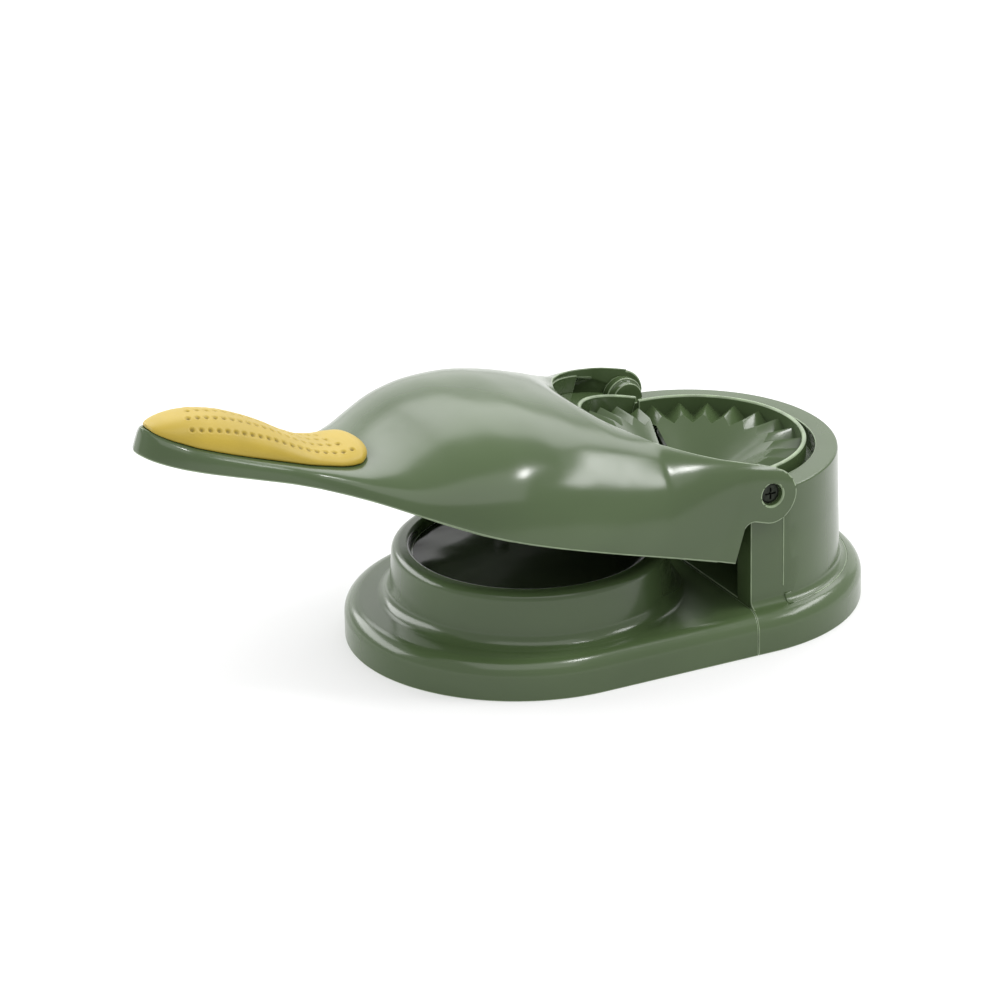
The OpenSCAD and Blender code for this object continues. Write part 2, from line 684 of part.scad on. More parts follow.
small_screw_r = 1.4;
small_head_r = 2.6;
pilot_small_r = 1.2;
disc_screw_r = 26;
disc_screw_at = [for (a = [0 : 90 : 270]) [-press_s + disc_screw_r * cos(a), disc_screw_r * sin(a)]];
module press_disc() {
    color(green) translate(hinge) rotate([0, tilt, 0]) difference() {
        translate([-press_s, 0, tray_low - disc_t]) rotate_extrude() polygon(concat(
            [[0, 0]], arc([disc_r - 1.2, 1.2], 1.2, -90, 0, 6), [[disc_r, disc_t], [0, disc_t]]));
        for (p = disc_screw_at) translate([p[0], p[1], tray_low - 2])
            cylinder(r = pilot_small_r, h = 3);
    }
}

module small_screw(length) {
    // Head up, shank down
    difference() {
        cylinder(r = small_head_r, h = 1.6);
        translate([0, 0, 2.1]) cross_recess(1.5);
    }
    translate([0, 0, -length]) cylinder(r = small_screw_r - 0.25, h = length + eps);
}

module disc_screws() {
    color(steel) translate(hinge) rotate([0, tilt, 0]) for (p = disc_screw_at)
        translate([p[0], p[1], tray_low + tray_t]) small_screw(tray_t + 1.8);
}

tray_screw_at = [for (q = [[48, 50], [100, 44]]) for (side = [-1, 1]) [-q[0], side * q[1]]];
shell_post_r = 3.4;
module tray_screws() {
    color(steel) translate(hinge) rotate([0, tilt, 0]) for (p = tray_screw_at)
        translate([p[0], p[1], tray_low]) rotate([180, 0, 0]) small_screw(tray_t + 2);
}

// Carrier: the ledge round the moving half, on a round wall that stands on the tray
carrier_r = open_x - seat_gap;
carrier_t = 1.8;
lip_in = ring_r + 0.4;
lip_out = lip_in + rim_t;
carrier_screw_r = 48;
carrier_screw_a = [120, 180, 240];
carrier_s0 = 8.2;
module mould_carrier() {
    color(green) translate(hinge) rotate([0, tilt, 0]) difference() {
        intersection() {
            rotate_extrude() polygon([
                [lip_out + seat_gap, ledge_top - ledge_t], [carrier_r - carrier_t, ledge_top - ledge_t],
                [carrier_r - carrier_t, tray_low + tray_t], [carrier_r, tray_low + tray_t],
                [carrier_r, ledge_top], [lip_out + seat_gap, ledge_top]]);
            translate([-foot_w - carrier_s0, -foot_w, -foot_w]) cube([foot_w, 2 * foot_w, 2 * foot_w]);
        }
        for (a = carrier_screw_a) rotate([0, 0, a])
            translate([carrier_screw_r, 0, ledge_top - ledge_t - 1]) cylinder(r = pilot_small_r, h = 2.4);
    }
}

mould_flange_t = 2.2;
mould_flange_r = 51.5;
groove_w = 3.4;
groove_h = -5.6;
module moving_mould_half() {
    flange_top = ledge_top - ledge_t;
    color(green) translate(hinge) rotate([0, tilt, 0]) mirror([1, 0, 0]) difference() {
        union() {
            intersection() {
                rotate_extrude() polygon(concat(
                    [[lip_in - groove_w, groove_h - mould_wall], [lip_out, groove_h - mould_wall],
                        [lip_out, flange_top - mould_flange_t],
                        [mould_flange_r, flange_top - mould_flange_t],
                        [mould_flange_r, flange_top], [lip_out, flange_top]],
                    arc([lip_out - rim_t / 2, lip_top - rim_t / 2], rim_t / 2, 0, 180, 8),
                    [[lip_in, groove_h], [lip_in - groove_w, groove_h]]));
                translate([split_gap, -foot_w, -foot_w]) cube(2 * foot_w);
            }
            translate([split_gap, 0, 0]) pleated_bowl(lip_in - groove_w + 0.6, fold_steps / 2);
        }
        // The flange stops short of the tower
        for (side = [-1, 1]) translate([-eps, side > 0 ? lip_out + 0.1 : -foot_w, -2 * skirt])
            cube([carrier_s0, foot_w - lip_out - 0.1, 3 * skirt]);
        for (a = carrier_screw_a) rotate([0, 0, 180 - a])
            translate([carrier_screw_r, 0, -skirt]) cylinder(r = small_screw_r + fine_gap, h = skirt);
    }
}

module carrier_screws() {
    color(steel) translate(hinge) rotate([0, tilt, 0]) for (a = carrier_screw_a) rotate([0, 0, a])
        translate([carrier_screw_r, 0, ledge_top - ledge_t - mould_flange_t]) rotate([180, 0, 0])
            small_screw(mould_flange_t + 1.2);
}

// Grip pad, crowned, from the handle's tip to the foot of the dome
grip_plan = [[135.4, 2], [136.2, 7], [138.2, 11.2], [141.6, grip_w + 0.6], [147, grip_w + 1.6],
    [158, grip_w + 0.4], [172, grip_w - 0.2], [190, grip_w], [203, grip_w - 0.8],
    [211, grip_w - 3.2], [216, grip_w - 6.4], [218.6, grip_w - 9.6], [219.4, 1.4]];
grip_top = [[135.4, -14.4], [137.2, -12.6], [140, -12], [144, -13], [149.4, -14.8], [156, -15.2],
    [164, -14], [176, -11], [184, -9.6], [193, -8.8], [201, -9.3], [207, -10.5], [214, -13.2],
    [219.4, -16.4]];
grip_stations = [135.4, 136, 137, 138.4, 140.2, 142.4, 145.2, 148.8, 153, 158, 163.4, 169, 175, 181,
    187.4, 193.8, 199.6, 204.6, 208.8, 212.2, 215, 217, 218.4, 219.4];
grip_rows = 10;

module grip_pad() {
    n = len(grip_stations);
    c = 2 * grip_rows;
    // Round the pad: over the top from side to side, then back along its seat
    function ring_point(s, j) = let (
            g = through(grip_plan, s), over = j <= grip_rows,
            t = over ? 180 * j / grip_rows : 0,
            y = over ? -g * sign(cos(t)) * pow(abs(cos(t)), 0.9)
                : g * (1 - 2 * (j - grip_rows) / grip_rows),
            seat = shell_over(s, g) + seat_gap,
            z = over ? seat + 0.4 + (through(grip_top, s) - seat - 0.4) * pow(sin(t), 0.9)
                : shell_over(s, abs(y)) + seat_gap)
        [-stretch(s), y, z];
    pts = [for (s = grip_stations) for (j = [0 : c - 1]) ring_point(s, j)];
    walls = [for (i = [0 : n - 2]) for (j = [0 : c - 1]) let (
            a = i * c + j, b = i * c + (j + 1) % c, d = a + c, e = b + c)
        each [[a, d, e], [a, e, b]]];
    caps = concat([[for (j = [0 : c - 1]) j]], [[for (j = [c - 1 : -1 : 0]) (n - 1) * c + j]]);
    color(yellow) translate(hinge) rotate([0, tilt, 0]) polyhedron(pts, concat(walls, caps));
}

base_front();
base_tower();
bottom_plate();
release_film();
fixed_mould_half();
mould_screws();
base_screws();
foot_pad(1);  // foot_pad_1
foot_pad(2);  // foot_pad_2
foot_pad(3);  // foot_pad_3
foot_pad(4);  // foot_pad_4
pivot_screw(0);  // pivot_screw_near
pivot_screw(1);  // pivot_screw_far
lever_shell();
lever_tray();
mould_carrier();
moving_mould_half();
press_disc();
grip_pad();
tray_screws();
disc_screws();
carrier_screws();
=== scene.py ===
"""Looks of the empanada press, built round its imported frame.

Every piece stands at the place that the frame gives. Lengths in the settings are
metres, and the shape functions work in millimetres and are scaled once, when a
mesh is made. The lever's pieces are shaped shut, with the hinge axis as their
origin, and are then tilted up as the press is stored.
"""
import json
from bisect import bisect_right
from math import acos, asin, copysign, cos, degrees, hypot, pi, radians, sin, sqrt

import bmesh
import bpy
from mathutils import Matrix, Vector


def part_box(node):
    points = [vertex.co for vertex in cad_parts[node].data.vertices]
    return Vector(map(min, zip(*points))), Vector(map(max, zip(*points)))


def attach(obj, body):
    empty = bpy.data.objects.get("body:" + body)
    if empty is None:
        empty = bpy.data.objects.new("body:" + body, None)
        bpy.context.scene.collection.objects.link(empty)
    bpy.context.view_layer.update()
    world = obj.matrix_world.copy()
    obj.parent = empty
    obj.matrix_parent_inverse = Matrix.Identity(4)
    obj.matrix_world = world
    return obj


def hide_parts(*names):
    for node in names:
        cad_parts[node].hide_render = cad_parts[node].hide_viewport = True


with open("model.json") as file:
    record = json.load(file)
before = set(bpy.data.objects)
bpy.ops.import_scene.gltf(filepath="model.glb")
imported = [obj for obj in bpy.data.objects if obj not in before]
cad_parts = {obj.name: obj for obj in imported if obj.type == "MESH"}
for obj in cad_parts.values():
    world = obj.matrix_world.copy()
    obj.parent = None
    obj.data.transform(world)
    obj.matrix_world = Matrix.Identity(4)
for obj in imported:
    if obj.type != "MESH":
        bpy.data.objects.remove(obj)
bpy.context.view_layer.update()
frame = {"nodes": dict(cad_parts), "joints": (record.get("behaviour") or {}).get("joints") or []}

MM = 0.001
HINGE_JOINT = frame["joints"][0]
HINGE = Vector(HINGE_JOINT["pos_m"])
TILT = radians(-HINGE_JOINT["range_deg"][0])
LEVER_PLACE = Matrix.Translation(HINGE) @ Matrix.Rotation(TILT, 4, "Y")

bl_info = {
    "name": "Empanada Press",
    "version": (1, 0, 0),
    "blender": (4, 5, 0),
    "location": "View3D > Sidebar > Press",
    "description": "Builds the visible pieces and finishes of an empanada press",
    "category": "Object",
}


# Settings

def number(name, description, default, **more):
    return bpy.props.FloatProperty(name=name, description=description, default=default, **more)


def length(name, description, default, **limits):
    """A setting that is a length, in metres."""
    return number(name, description, default, subtype="DISTANCE", unit="LENGTH", precision=5,
                  **limits)


def angle(name, description, turn):
    """A setting that is an angle, given in degrees."""
    return number(name, description, radians(turn), subtype="ANGLE")


def colour(name, description, default):
    return bpy.props.FloatVectorProperty(
        name=name, description=description, subtype="COLOR", size=3, min=0, max=1, default=default)


class PressFinish(bpy.types.PropertyGroup):
    """Colours and gloss of the press."""

    plastic: colour("Plastic", "Colour of the green mouldings", (0.058, 0.090, 0.036))
    plastic_roughness: number("Plastic roughness", "Roughness of the green mouldings", 0.2,
                              min=0, max=1)
    # The edge colour is a painted highlight, a lighter green on the thin rounded edges
    edge: colour("Edges", "Colour of the thin light edges", (0.20, 0.26, 0.155))
    edge_width: length("Edge width", "Width of the rounded edges", 0.00035, min=0.0001, max=0.0006)
    grip: colour("Grip", "Colour of the soft grip", (0.40, 0.285, 0.026))
    # The film's near-black colour is painted shade and a painted reflection of the lever's dark
    # underside
    film: colour("Film", "Colour seen through the release film", (0.016, 0.022, 0.012))


class MouldSettings(bpy.types.PropertyGroup):
    """Sizes of the pleated folding mould."""

    pleats: bpy.props.IntProperty(
        name="Pleats", description="Number of pleats in each half", default=12, min=8, max=16)
    sharpness: number("Sharpness", "How sharp the folds are, up to 1", 0.994, min=0.5, max=0.999)
    bowl: length("Bowl radius", "Where the crests run out into the bowl", 0.030,
                 min=0.028, max=0.031)
    valley: length("Valley radius", "Where the valleys run out into the bowl", 0.0268,
                   min=0.02, max=0.03)
    rim: length("Rim radius", "Outer radius of the fixed half's rim", 0.0418, min=0.04, max=0.0422)
    rim_wall: length("Rim wall", "Thickness of the rims", 0.0017, min=0.001, max=0.002)


class GripSettings(bpy.types.PropertyGroup):
    """Sizes of the dimples in the soft grip."""

    pitch: length("Pitch", "Distance between the dimples in a row", 0.0034, min=0.003, max=0.006)
    radius: length("Dimple radius", "Radius of a dimple", 0.00115, min=0.0004, max=0.002)
    depth: length("Dimple depth", "Depth of a dimple", 0.0008, min=0.0001, max=0.001)


class ScrewSettings(bpy.types.PropertyGroup):
    """Sizes of the screws' cross recess."""

    cross_width: length("Cross width", "Width of a slot of the cross", 0.0008,
                        min=0.0003, max=0.002)
    cross_depth: length("Cross depth", "Depth of the cross", 0.0007, min=0.0003, max=0.002)


class StageSettings(bpy.types.PropertyGroup):
    """Camera round the press."""

    azimuth: angle("Azimuth", "Direction the camera looks in, from +Y towards +X", 27.06)
    elevation: angle("Elevation", "Height of the camera over the horizon", 22.66)
    roll: angle("Roll", "Turn of the camera about its line of sight", -1.004)
    distance: length("Distance", "From the camera to its target", 1.73224, min=0.1)
    target: bpy.props.FloatVectorProperty(
        name="Target", description="Point that the camera looks at",
        subtype="TRANSLATION", size=3, default=(-0.04212, 0.0, 0.05147))
    focal_px: number("Focal length", "Focal length in pixels of the frame", 4829.79, min=100)
    frame_px: bpy.props.IntProperty(
        name="Frame", description="Width of the picture in pixels", min=16, default=1001)


# Node expressions

def operator(operation, reflected=False):
    """A method that adds a Math node; reflected, the value is the second term."""
    def method(self, other):
        return self.graph.maths(operation, *((other, self) if reflected else (self, other)))
    return method


class Value:
    """One value in a node tree; Python's operators on it add Math nodes."""

    __add__ = __radd__ = operator("ADD")
    __mul__ = __rmul__ = operator("MULTIPLY")
    __sub__, __rsub__ = operator("SUBTRACT"), operator("SUBTRACT", reflected=True)
    __truediv__, __rtruediv__ = operator("DIVIDE"), operator("DIVIDE", reflected=True)

    def __init__(self, graph, socket):
        self.graph = graph
        self.socket = socket

    def maths(self, operation, *others):
        return self.graph.maths(operation, self, *others)

    def over(self, low, high):
        """0 below low, 1 above high, with a soft step between."""
        node = self.graph.node(
            "ShaderNodeMapRange", {"interpolation_type": "SMOOTHSTEP"},
            {"Value": self, "From Min": low, "From Max": high, "To Min": 0.0, "To Max": 1.0})
        return Value(self.graph, node.outputs[0])


class Graph:
    """A node tree that is written as expressions."""

    def __init__(self, tree):
        self.tree = tree

    def feed(self, socket, term):
        """Links or sets a socket; a list holds several links to one socket."""
        if isinstance(term, list):
            for each in term:
                self.feed(socket, each)
            return
        if isinstance(term, Value):
            term = term.socket
        if isinstance(term, bpy.types.NodeSocket):
            self.tree.links.new(term, socket)
        else:
            socket.default_value = term

    def node(self, kind, settings, inputs):
        node = self.tree.nodes.new(kind)
        for key, value in settings.items():
            setattr(node, key, value)
        for key, term in inputs.items():
            self.feed(node.inputs[key], term)
        return node

    def maths(self, operation, *terms):
        node = self.node("ShaderNodeMath", {"operation": operation}, dict(enumerate(terms)))
        return Value(self, node.outputs[0])

    def parts(self, vector):
        node = self.node("ShaderNodeSeparateXYZ", {}, {0: vector})
        return [Value(self, socket) for socket in node.outputs]

    def vector(self, x, y, z):
        return self.node("ShaderNodeCombineXYZ", {}, {0: x, 1: y, 2: z}).outputs[0]


class Finish(Graph):
    """A material whose Principled shader is fed by expressions."""

    def __init__(self, name):
        self.material = bpy.data.materials.new(name)
        self.material.use_nodes = True
        super().__init__(self.material.node_tree)
        self.shader = self.tree.nodes["Principled BSDF"]
        self.place = self.node("ShaderNodeTexCoord", {}, {}).outputs["Object"]

    def set(self, **sockets):
        """Sets the shader's own sockets, with _ for a space."""
        for key, term in sockets.items():
            self.feed(self.shader.inputs[key.replace("_", " ")], term)

    def noise(self, per_metre, detail=2.0, stretch=None):
        place = self.place
        if stretch:
            place = self.node("ShaderNodeMapping", {}, {
                "Vector": place, "Scale": stretch}).outputs[0]
        node = self.node("ShaderNodeTexNoise", {}, {
            "Vector": place, "Scale": per_metre, "Detail": detail})
        return Value(self, node.outputs[0])

    def blend(self, share, low, high):
        node = self.node("ShaderNodeMix", {"data_type": "RGBA"}, {0: share, 6: low, 7: high})
        return Value(self, node.outputs[2])

    def tint(self, share, base, low, high):
        """A base colour that drifts between two gains of itself."""
        self.set(Base_Color=self.blend(share, shade(base, low), shade(base, high)))

    def bump(self, height, distance, strength):
        node = self.node("ShaderNodeBump", {}, {
            "Height": height, "Distance": distance, "Strength": strength})
        self.set(Normal=Value(self, node.outputs[0]))


class Recipe(Graph):
    """A Geometry Nodes tree with named inputs."""

    SOCKETS = {int: "NodeSocketInt", float: "NodeSocketFloat",
               bpy.types.Object: "NodeSocketObject", bpy.types.Material: "NodeSocketMaterial"}

    def __init__(self, name, **inputs):
        super().__init__(bpy.data.node_groups.new(name, "GeometryNodeTree"))
        face = self.tree.interface
        face.new_socket("Geometry", in_out="INPUT", socket_type="NodeSocketGeometry")
        self.identifiers = {
            key: face.new_socket(key.replace("_", " "), in_out="INPUT",
                                 socket_type=self.SOCKETS[kind]).identifier
            for key, kind in inputs.items()}
        face.new_socket("Geometry", in_out="OUTPUT", socket_type="NodeSocketGeometry")
        self.start = self.tree.nodes.new("NodeGroupInput")

    def given(self, key):
        return Value(self, self.start.outputs[key.replace("_", " ")])

    def make(self, kind, inputs, **settings):
        """The first output of a new geometry node."""
        return self.node(kind, settings, inputs).outputs[0]

    def close(self, geometry):
        """Ends the tree in real geometry that carries its material."""
        real = self.make("GeometryNodeRealizeInstances", {0: geometry})
        end = self.tree.nodes.new("NodeGroupOutput")
        self.feed(end.inputs[0], self.make(
            "GeometryNodeSetMaterial", {"Geometry": real, "Material": self.given("Material")}))

    def use(self, piece, **values):
        """Runs the tree on a piece and keeps the result as its plain mesh."""
        modifier = piece.modifiers.new(self.tree.name, "NODES")
        modifier.node_group = self.tree
        for key, value in values.items():
            modifier[self.identifiers[key]] = value
        settle(piece)


# Mesh helpers

def make_piece(name, points, faces, place=None):
    """A piece from points in millimetres, put where the frame has its body's pieces."""
    mesh = bpy.data.meshes.new(name)
    mesh.from_pydata([Vector(p) * MM for p in points], [], faces)
    if place is not None:
        mesh.transform(place)
    mesh.validate()
    return new_object(name, mesh)


def settle(piece):
    """Turns a piece and its modifiers into one plain mesh."""
    bpy.context.view_layer.update()
    graph = bpy.context.evaluated_depsgraph_get()
    mesh = bpy.data.meshes.new_from_object(piece.evaluated_get(graph))
    piece.modifiers.clear()
    piece.data = mesh
    return piece


def thicken(piece, wall, side):
    """Gives a sheet a wall, in millimetres; side is 1 for outwards and -1 for inwards."""
    modifier = piece.modifiers.new("thickness", "SOLIDIFY")
    modifier.thickness = wall * MM
    modifier.offset = side
    return modifier


def carve(piece, cutters, operation="DIFFERENCE"):
    """Cuts solids out of a piece, or joins them to it."""
    for cutter in cutters:
        modifier = piece.modifiers.new("cut", "BOOLEAN")
        modifier.operation = operation
        modifier.solver = "EXACT"
        modifier.object = cutter
        settle(piece)
        bpy.data.objects.remove(cutter)
    return piece


def soften(piece, least=32, flat=0.05, width=None):
    """Merges a green piece and rounds its sharp outer edges, which get the edge finish, a painted
    highlight.

    least is the least angle of a sharp edge, and flat the most that two faces may differ
    by and still become one. Both are degrees.
    """
    mesh = piece.data
    bm = bmesh.new()
    bm.from_mesh(mesh)
    bmesh.ops.remove_doubles(bm, verts=bm.verts, dist=3e-6)
    bmesh.ops.dissolve_degenerate(bm, dist=2e-6, edges=bm.edges)
    if flat:
        bmesh.ops.dissolve_limit(
            bm, angle_limit=radians(flat), verts=bm.verts, edges=bm.edges)
    bmesh.ops.triangulate(bm, faces=[face for face in bm.faces if len(face.verts) > 4])
    for face in bm.faces:
        face.material_index = 0
    sharp = [e for e in bm.edges if e.is_manifold and e.is_convex
             and e.calc_face_angle(0) > radians(least)]
    bmesh.ops.bevel(
        bm, geom=sharp, offset=width or bpy.context.scene.press_finish.edge_width, segments=2,
        profile=0.5, affect="EDGES", clamp_overlap=False, material=1)
    mesh.materials.clear()
    dress(mesh, "green", "edge")
    bm.to_mesh(mesh)
    bm.free()
    return piece


def dress(mesh, *names):
    """Gives a mesh some of the press's finishes, in the order of its faces' indices."""
    for name in names:
        mesh.materials.append(finish(name))


def stand_for(piece, body, *nodes, slot="green_plastic", crease=34):
    """Shades a piece and lets it ride on its body in place of the frame's own nodes."""
    piece.data.shade_smooth()
    piece.data.set_sharp_from_angle(angle=radians(crease))
    even = piece.modifiers.new("even_shading", "WEIGHTED_NORMAL")
    even.keep_sharp = True
    settle(piece)
    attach(piece, body)
    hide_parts(*nodes)


def new_object(name, data):
    """An object in the scene, at its origin."""
    thing = bpy.data.objects.new(name, data)
    bpy.context.scene.collection.objects.link(thing)
    return thing


def frame_copy(node):
    """A copy of one of the frame's meshes, as a piece of its own."""
    return new_object(node + "_look", frame["nodes"][node].data.copy())


def soft_copies(body, nodes, flat=0.05):
    """Green copies of the frame's meshes with rounded edges, in their places."""
    for node in nodes:
        stand_for(soften(frame_copy(node), flat=flat), body, node)


def joined(name, pieces, *finishes):
    """One piece out of several, which are removed."""
    bm = bmesh.new()
    for piece in pieces:
        bm.from_mesh(piece.data)
    mesh = bpy.data.meshes.new(name)
    bm.to_mesh(mesh)
    bm.free()
    for piece in pieces:
        bpy.data.objects.remove(piece)
    dress(mesh, *finishes)
    return new_object(name, mesh)


def arc(centre, radius, start, end, steps=12):
    """Points of an arc, with its angles in degrees."""
    turns = (radians(start + (end - start) * i / steps) for i in range(steps + 1))
    return [(centre[0] + radius * cos(t), centre[1] + radius * sin(t)) for t in turns]


def spun(name, profile, start=0.0, end=360.0, steps=128, place=None):
    """A closed section of radius and height, turned about the upright axis."""
    whole = abs(end - start) >= 360
    n = len(profile)
    turns = [radians(start + (end - start) * i / steps)
             for i in range(steps + (0 if whole else 1))]
    points = [(r * cos(t), r * sin(t), h) for t in turns for r, h in profile]
    faces = []
    for i in range(steps):
        k = (i + 1) % len(turns)
        for j in range(n):
            m = (j + 1) % n
            faces.append((i * n + j, k * n + j, k * n + m, i * n + m))
    if not whole:
        faces.append(tuple(reversed(range(n))))
        faces.append(tuple((len(turns) - 1) * n + j for j in range(n)))
    return face_out(make_piece(name, points, faces, place))


def prism(name, outline, low, high, axis="Z", place=None):
    """A flat outline drawn out along Z, or along Y for an outline of x and height."""
    n = len(outline)
    if axis == "Z":
        points = [(x, y, h) for h in (low, high) for x, y in outline]
    else:
        points = [(x, y, h) for y in (low, high) for x, h in outline]
    faces = [tuple(reversed(range(n))), tuple(range(n, 2 * n))]
    faces += [(i, (i + 1) % n, n + (i + 1) % n, n + i) for i in range(n)]
    return face_out(make_piece(name, points, faces, place))


def face_out(piece):
    """Merges doubles and points every face outwards."""
    bm = bmesh.new()
    bm.from_mesh(piece.data)
    bmesh.ops.remove_doubles(bm, verts=bm.verts, dist=1e-6)
    bmesh.ops.recalc_face_normals(bm, faces=bm.faces)
    bm.to_mesh(piece.data)
    bm.free()
    return piece


# Sizes of the base, in millimetres

FOOT_R = 64.0
END_X = 34.6
SHOULDER_R = 6.0
DECK_H = 14.4
PED_X = -30.45
PED_R = 50.25
PED_H = 34.0
RECESS_R = 43.45
RECESS_D = 4.4
SEAM_X = 30.05
FLAT_Y = 54.3


# Shapes of the lever, in millimetres from the hinge axis: s runs towards the handle

class Curve:
    """A smooth curve through knots of place and value, with no overshoot."""

    def __init__(self, knots):
        self.at = [k[0] for k in knots]
        self.value = [k[1] for k in knots]
        rise = [(b[1] - a[1]) / (b[0] - a[0]) for a, b in zip(knots, knots[1:])]
        self.slope = [rise[0]] + [
            0.0 if a * b <= 0 else 2 * a * b / (a + b) for a, b in zip(rise, rise[1:])] + [rise[-1]]

    def __call__(self, x):
        i = min(max(bisect_right(self.at, x) - 1, 0), len(self.at) - 2)
        d = self.at[i + 1] - self.at[i]
        u = min(max((x - self.at[i]) / d, 0.0), 1.0)
        return ((2 * u ** 3 - 3 * u ** 2 + 1) * self.value[i]
                + (u ** 3 - 2 * u ** 2 + u) * d * self.slope[i]
                + (3 * u ** 2 - 2 * u ** 3) * self.value[i + 1]
                + (u ** 3 - u ** 2) * d * self.slope[i + 1])


EAR_Y = 58.3
SKIRT = 27.0
WALL = 2.6
LEVER_LEN = 221.0
OPEN_Y = 55.2
OPEN_X = OPEN_Y - 0.8
ROLL_W = 14.0
PLAN = Curve([(-10, EAR_Y), (8, EAR_Y), (20, EAR_Y + 0.4), (36, EAR_Y + 1.3), (58, EAR_Y + 3.1),
              (78, EAR_Y + 3.6), (95, EAR_Y + 2.2), (108, 56.4), (119, 48.8), (130, 39.2),
              (139, 30.8), (146, 26), (153, 22.2), (160, 19.4), (170, 17.6), (184, 17.1),
              (198, 16.5), (207, 15), (213, 12.4), (217, 9.4), (219.6, 5.6), (221, 1.6)])
CROWN = Curve([(-10, 12), (20, 12.2), (36, 12.5), (54, 12.9), (71, 13.2), (84, 12.2), (100, 7.6),
               (112, 0.9), (122, -7.2), (128, -11.8), (134, -15.2), (141, -17.8), (150, -19.4),
               (162, -20.4), (176, -20.1), (198, -19), (212, -18), (221, -17.6)])
SQUARE = Curve([(-10, 12), (0, 12), (12, 9.4), (20, 6.6), (28, 4.7), (36, 3.4), (42, 2.8),
                (56, 2.5), (71, 2.4), (112, 2.35), (126, 2.4), (140, 3), (152, 4), (168, 5),
                (221, 4)])
ROLL = Curve([(0, 0), (34, 0), (42, 0.6), (48, 2.2), (52, 3.7), (55, 4.6)])


def open_half(s):
    """Half width of the round opening over the mould."""
    if s >= OPEN_X:
        return 0.0
    return OPEN_Y if s <= 0 else OPEN_Y * sqrt(1 - (s / OPEN_X) ** 2)


def dome(s, y, width, top):
    """Height of a shell of a half width and a middle height, at a half width y."""
    power = SQUARE(s)
    reach = hypot(max(s, 0) / OPEN_X, y / OPEN_Y)
    d = max((reach - 1) * OPEN_X / ROLL_W, 0)
    height = -SKIRT + (top + SKIRT) * max(1 - min(y / width, 1) ** power, 0) ** (1 / power)
    if d < 1:
        height -= ROLL(max(s, 0) / max(reach, 1)) * (1 - d) ** 2
    return height


def shell_over(s, y):
    return dome(s, abs(y), PLAN(s), CROWN(s))


def section(s, t, width, top):
    """A point of the shell's section: t is 0 at the lower edge and 90 at the middle."""
    edge = open_half(s)
    power = max(2 / SQUARE(s), 0.5)
    y = edge + max(width - edge, 0.02) * cos(radians(t)) ** power
    return y, dome(s, y, width, top)


# Finishes

def shade(tint, gain):
    """A colour made lighter or darker, with full alpha."""
    return tuple(min(1.0, c * gain) for c in tint[:3]) + (1.0,)


def green_plastic():
    """Glossy sage green moulding, with slow waves and faint flow marks."""
    settings = bpy.context.scene.press_finish
    f = Finish("green_plastic")
    flow = f.noise(14, stretch=(1.0, 1.0, 2.2))
    mottle = f.noise(220, detail=3)
    f.tint(flow.over(0.30, 0.72), settings.plastic, 0.92, 1.08)
    f.set(Roughness=settings.plastic_roughness + (mottle - 0.5) * 0.08 + (flow - 0.5) * 0.06)
    f.set(IOR=1.50)
    f.bump(f.noise(28, detail=1), 0.0011, 0.30)
    return f.material


def green_edge():
    """The same plastic, lighter: a painted highlight where a thin edge would catch the light."""
    f = Finish("green_edge")
    # Noise that makes the painted highlight brighter in some places than in others
    edge_glint = f.noise(160, detail=3)
    f.tint(edge_glint.over(0.35, 0.65), bpy.context.scene.press_finish.edge, 0.85, 1.15)
    f.set(Roughness=0.30 + (edge_glint - 0.5) * 0.2)
    return f.material


def soft_yellow():
    """Satin soft plastic, with painted shade in the dimples."""
    tint = bpy.context.scene.press_finish.grip
    f = Finish("grip_rubber")
    grain = f.noise(1500)
    even = f.blend(f.noise(60).over(0.3, 0.7), shade(tint, 0.95), shade(tint, 1.05))
    stored = f.node("ShaderNodeAttribute", {"attribute_name": "dimple"}, {})
    dimple = Value(f, stored.outputs["Fac"])
    # Painted shade: the colour darkens towards 0.42 of itself where a dimple is deep
    f.set(Base_Color=f.blend(dimple.over(0.05, 0.9) * 0.75, even, shade(tint, 0.42)))
    f.set(Roughness=0.46 + (grain - 0.5) * 0.12)
    f.bump(grain, 0.00006, 0.3)
    return f.material


def clear_film():
    """Thin clear sheet, coloured nearly black with painted shade and a painted reflection of the
    lever's dark underside.
    """
    f = Finish("film")
    ripple = f.noise(40)
    f.tint(ripple.over(0.35, 0.65), bpy.context.scene.press_finish.film, 0.9, 1.2)
    f.set(Roughness=0.10 + (f.noise(300) - 0.5) * 0.06, Specular_IOR_Level=0.13)
    f.bump(ripple, 0.0008, 0.35)
    return f.material


def film_edge():
    """The film's cut edge, with a painted highlight where it gathers light."""
    f = Finish("film_edge")
    glint = f.noise(90)
    f.set(Base_Color=f.blend(
        glint.over(0.35, 0.7), (0.24, 0.26, 0.23, 1.0), (0.72, 0.75, 0.70, 1.0)))
    f.set(Roughness=0.12 + (glint - 0.5) * 0.1)
    return f.material


def screw_steel(name="steel", tint=(0.38, 0.38, 0.37), roughness=0.34):
    f = Finish(name)
    f.tint(f.noise(700).over(0.3, 0.7), tint, 0.8, 1.2)
    f.set(Metallic=1.0, Roughness=roughness + (f.noise(1200) - 0.5) * 0.2)
    f.bump(f.noise(2500), 0.00005, 0.3)
    return f.material


def dark_steel():
    """Steel darkened nearly to black, for the two pivot screws."""
    return screw_steel("dark_steel", (0.035, 0.040, 0.032), 0.5)


def black_rubber():
    f = Finish("pad_rubber")
    f.tint(f.noise(500).over(0.3, 0.7), (0.02, 0.02, 0.02), 0.8, 1.2)
    f.set(Roughness=0.75 + (f.noise(900) - 0.5) * 0.2)
    f.bump(f.noise(1800), 0.0001, 0.4)
    return f.material


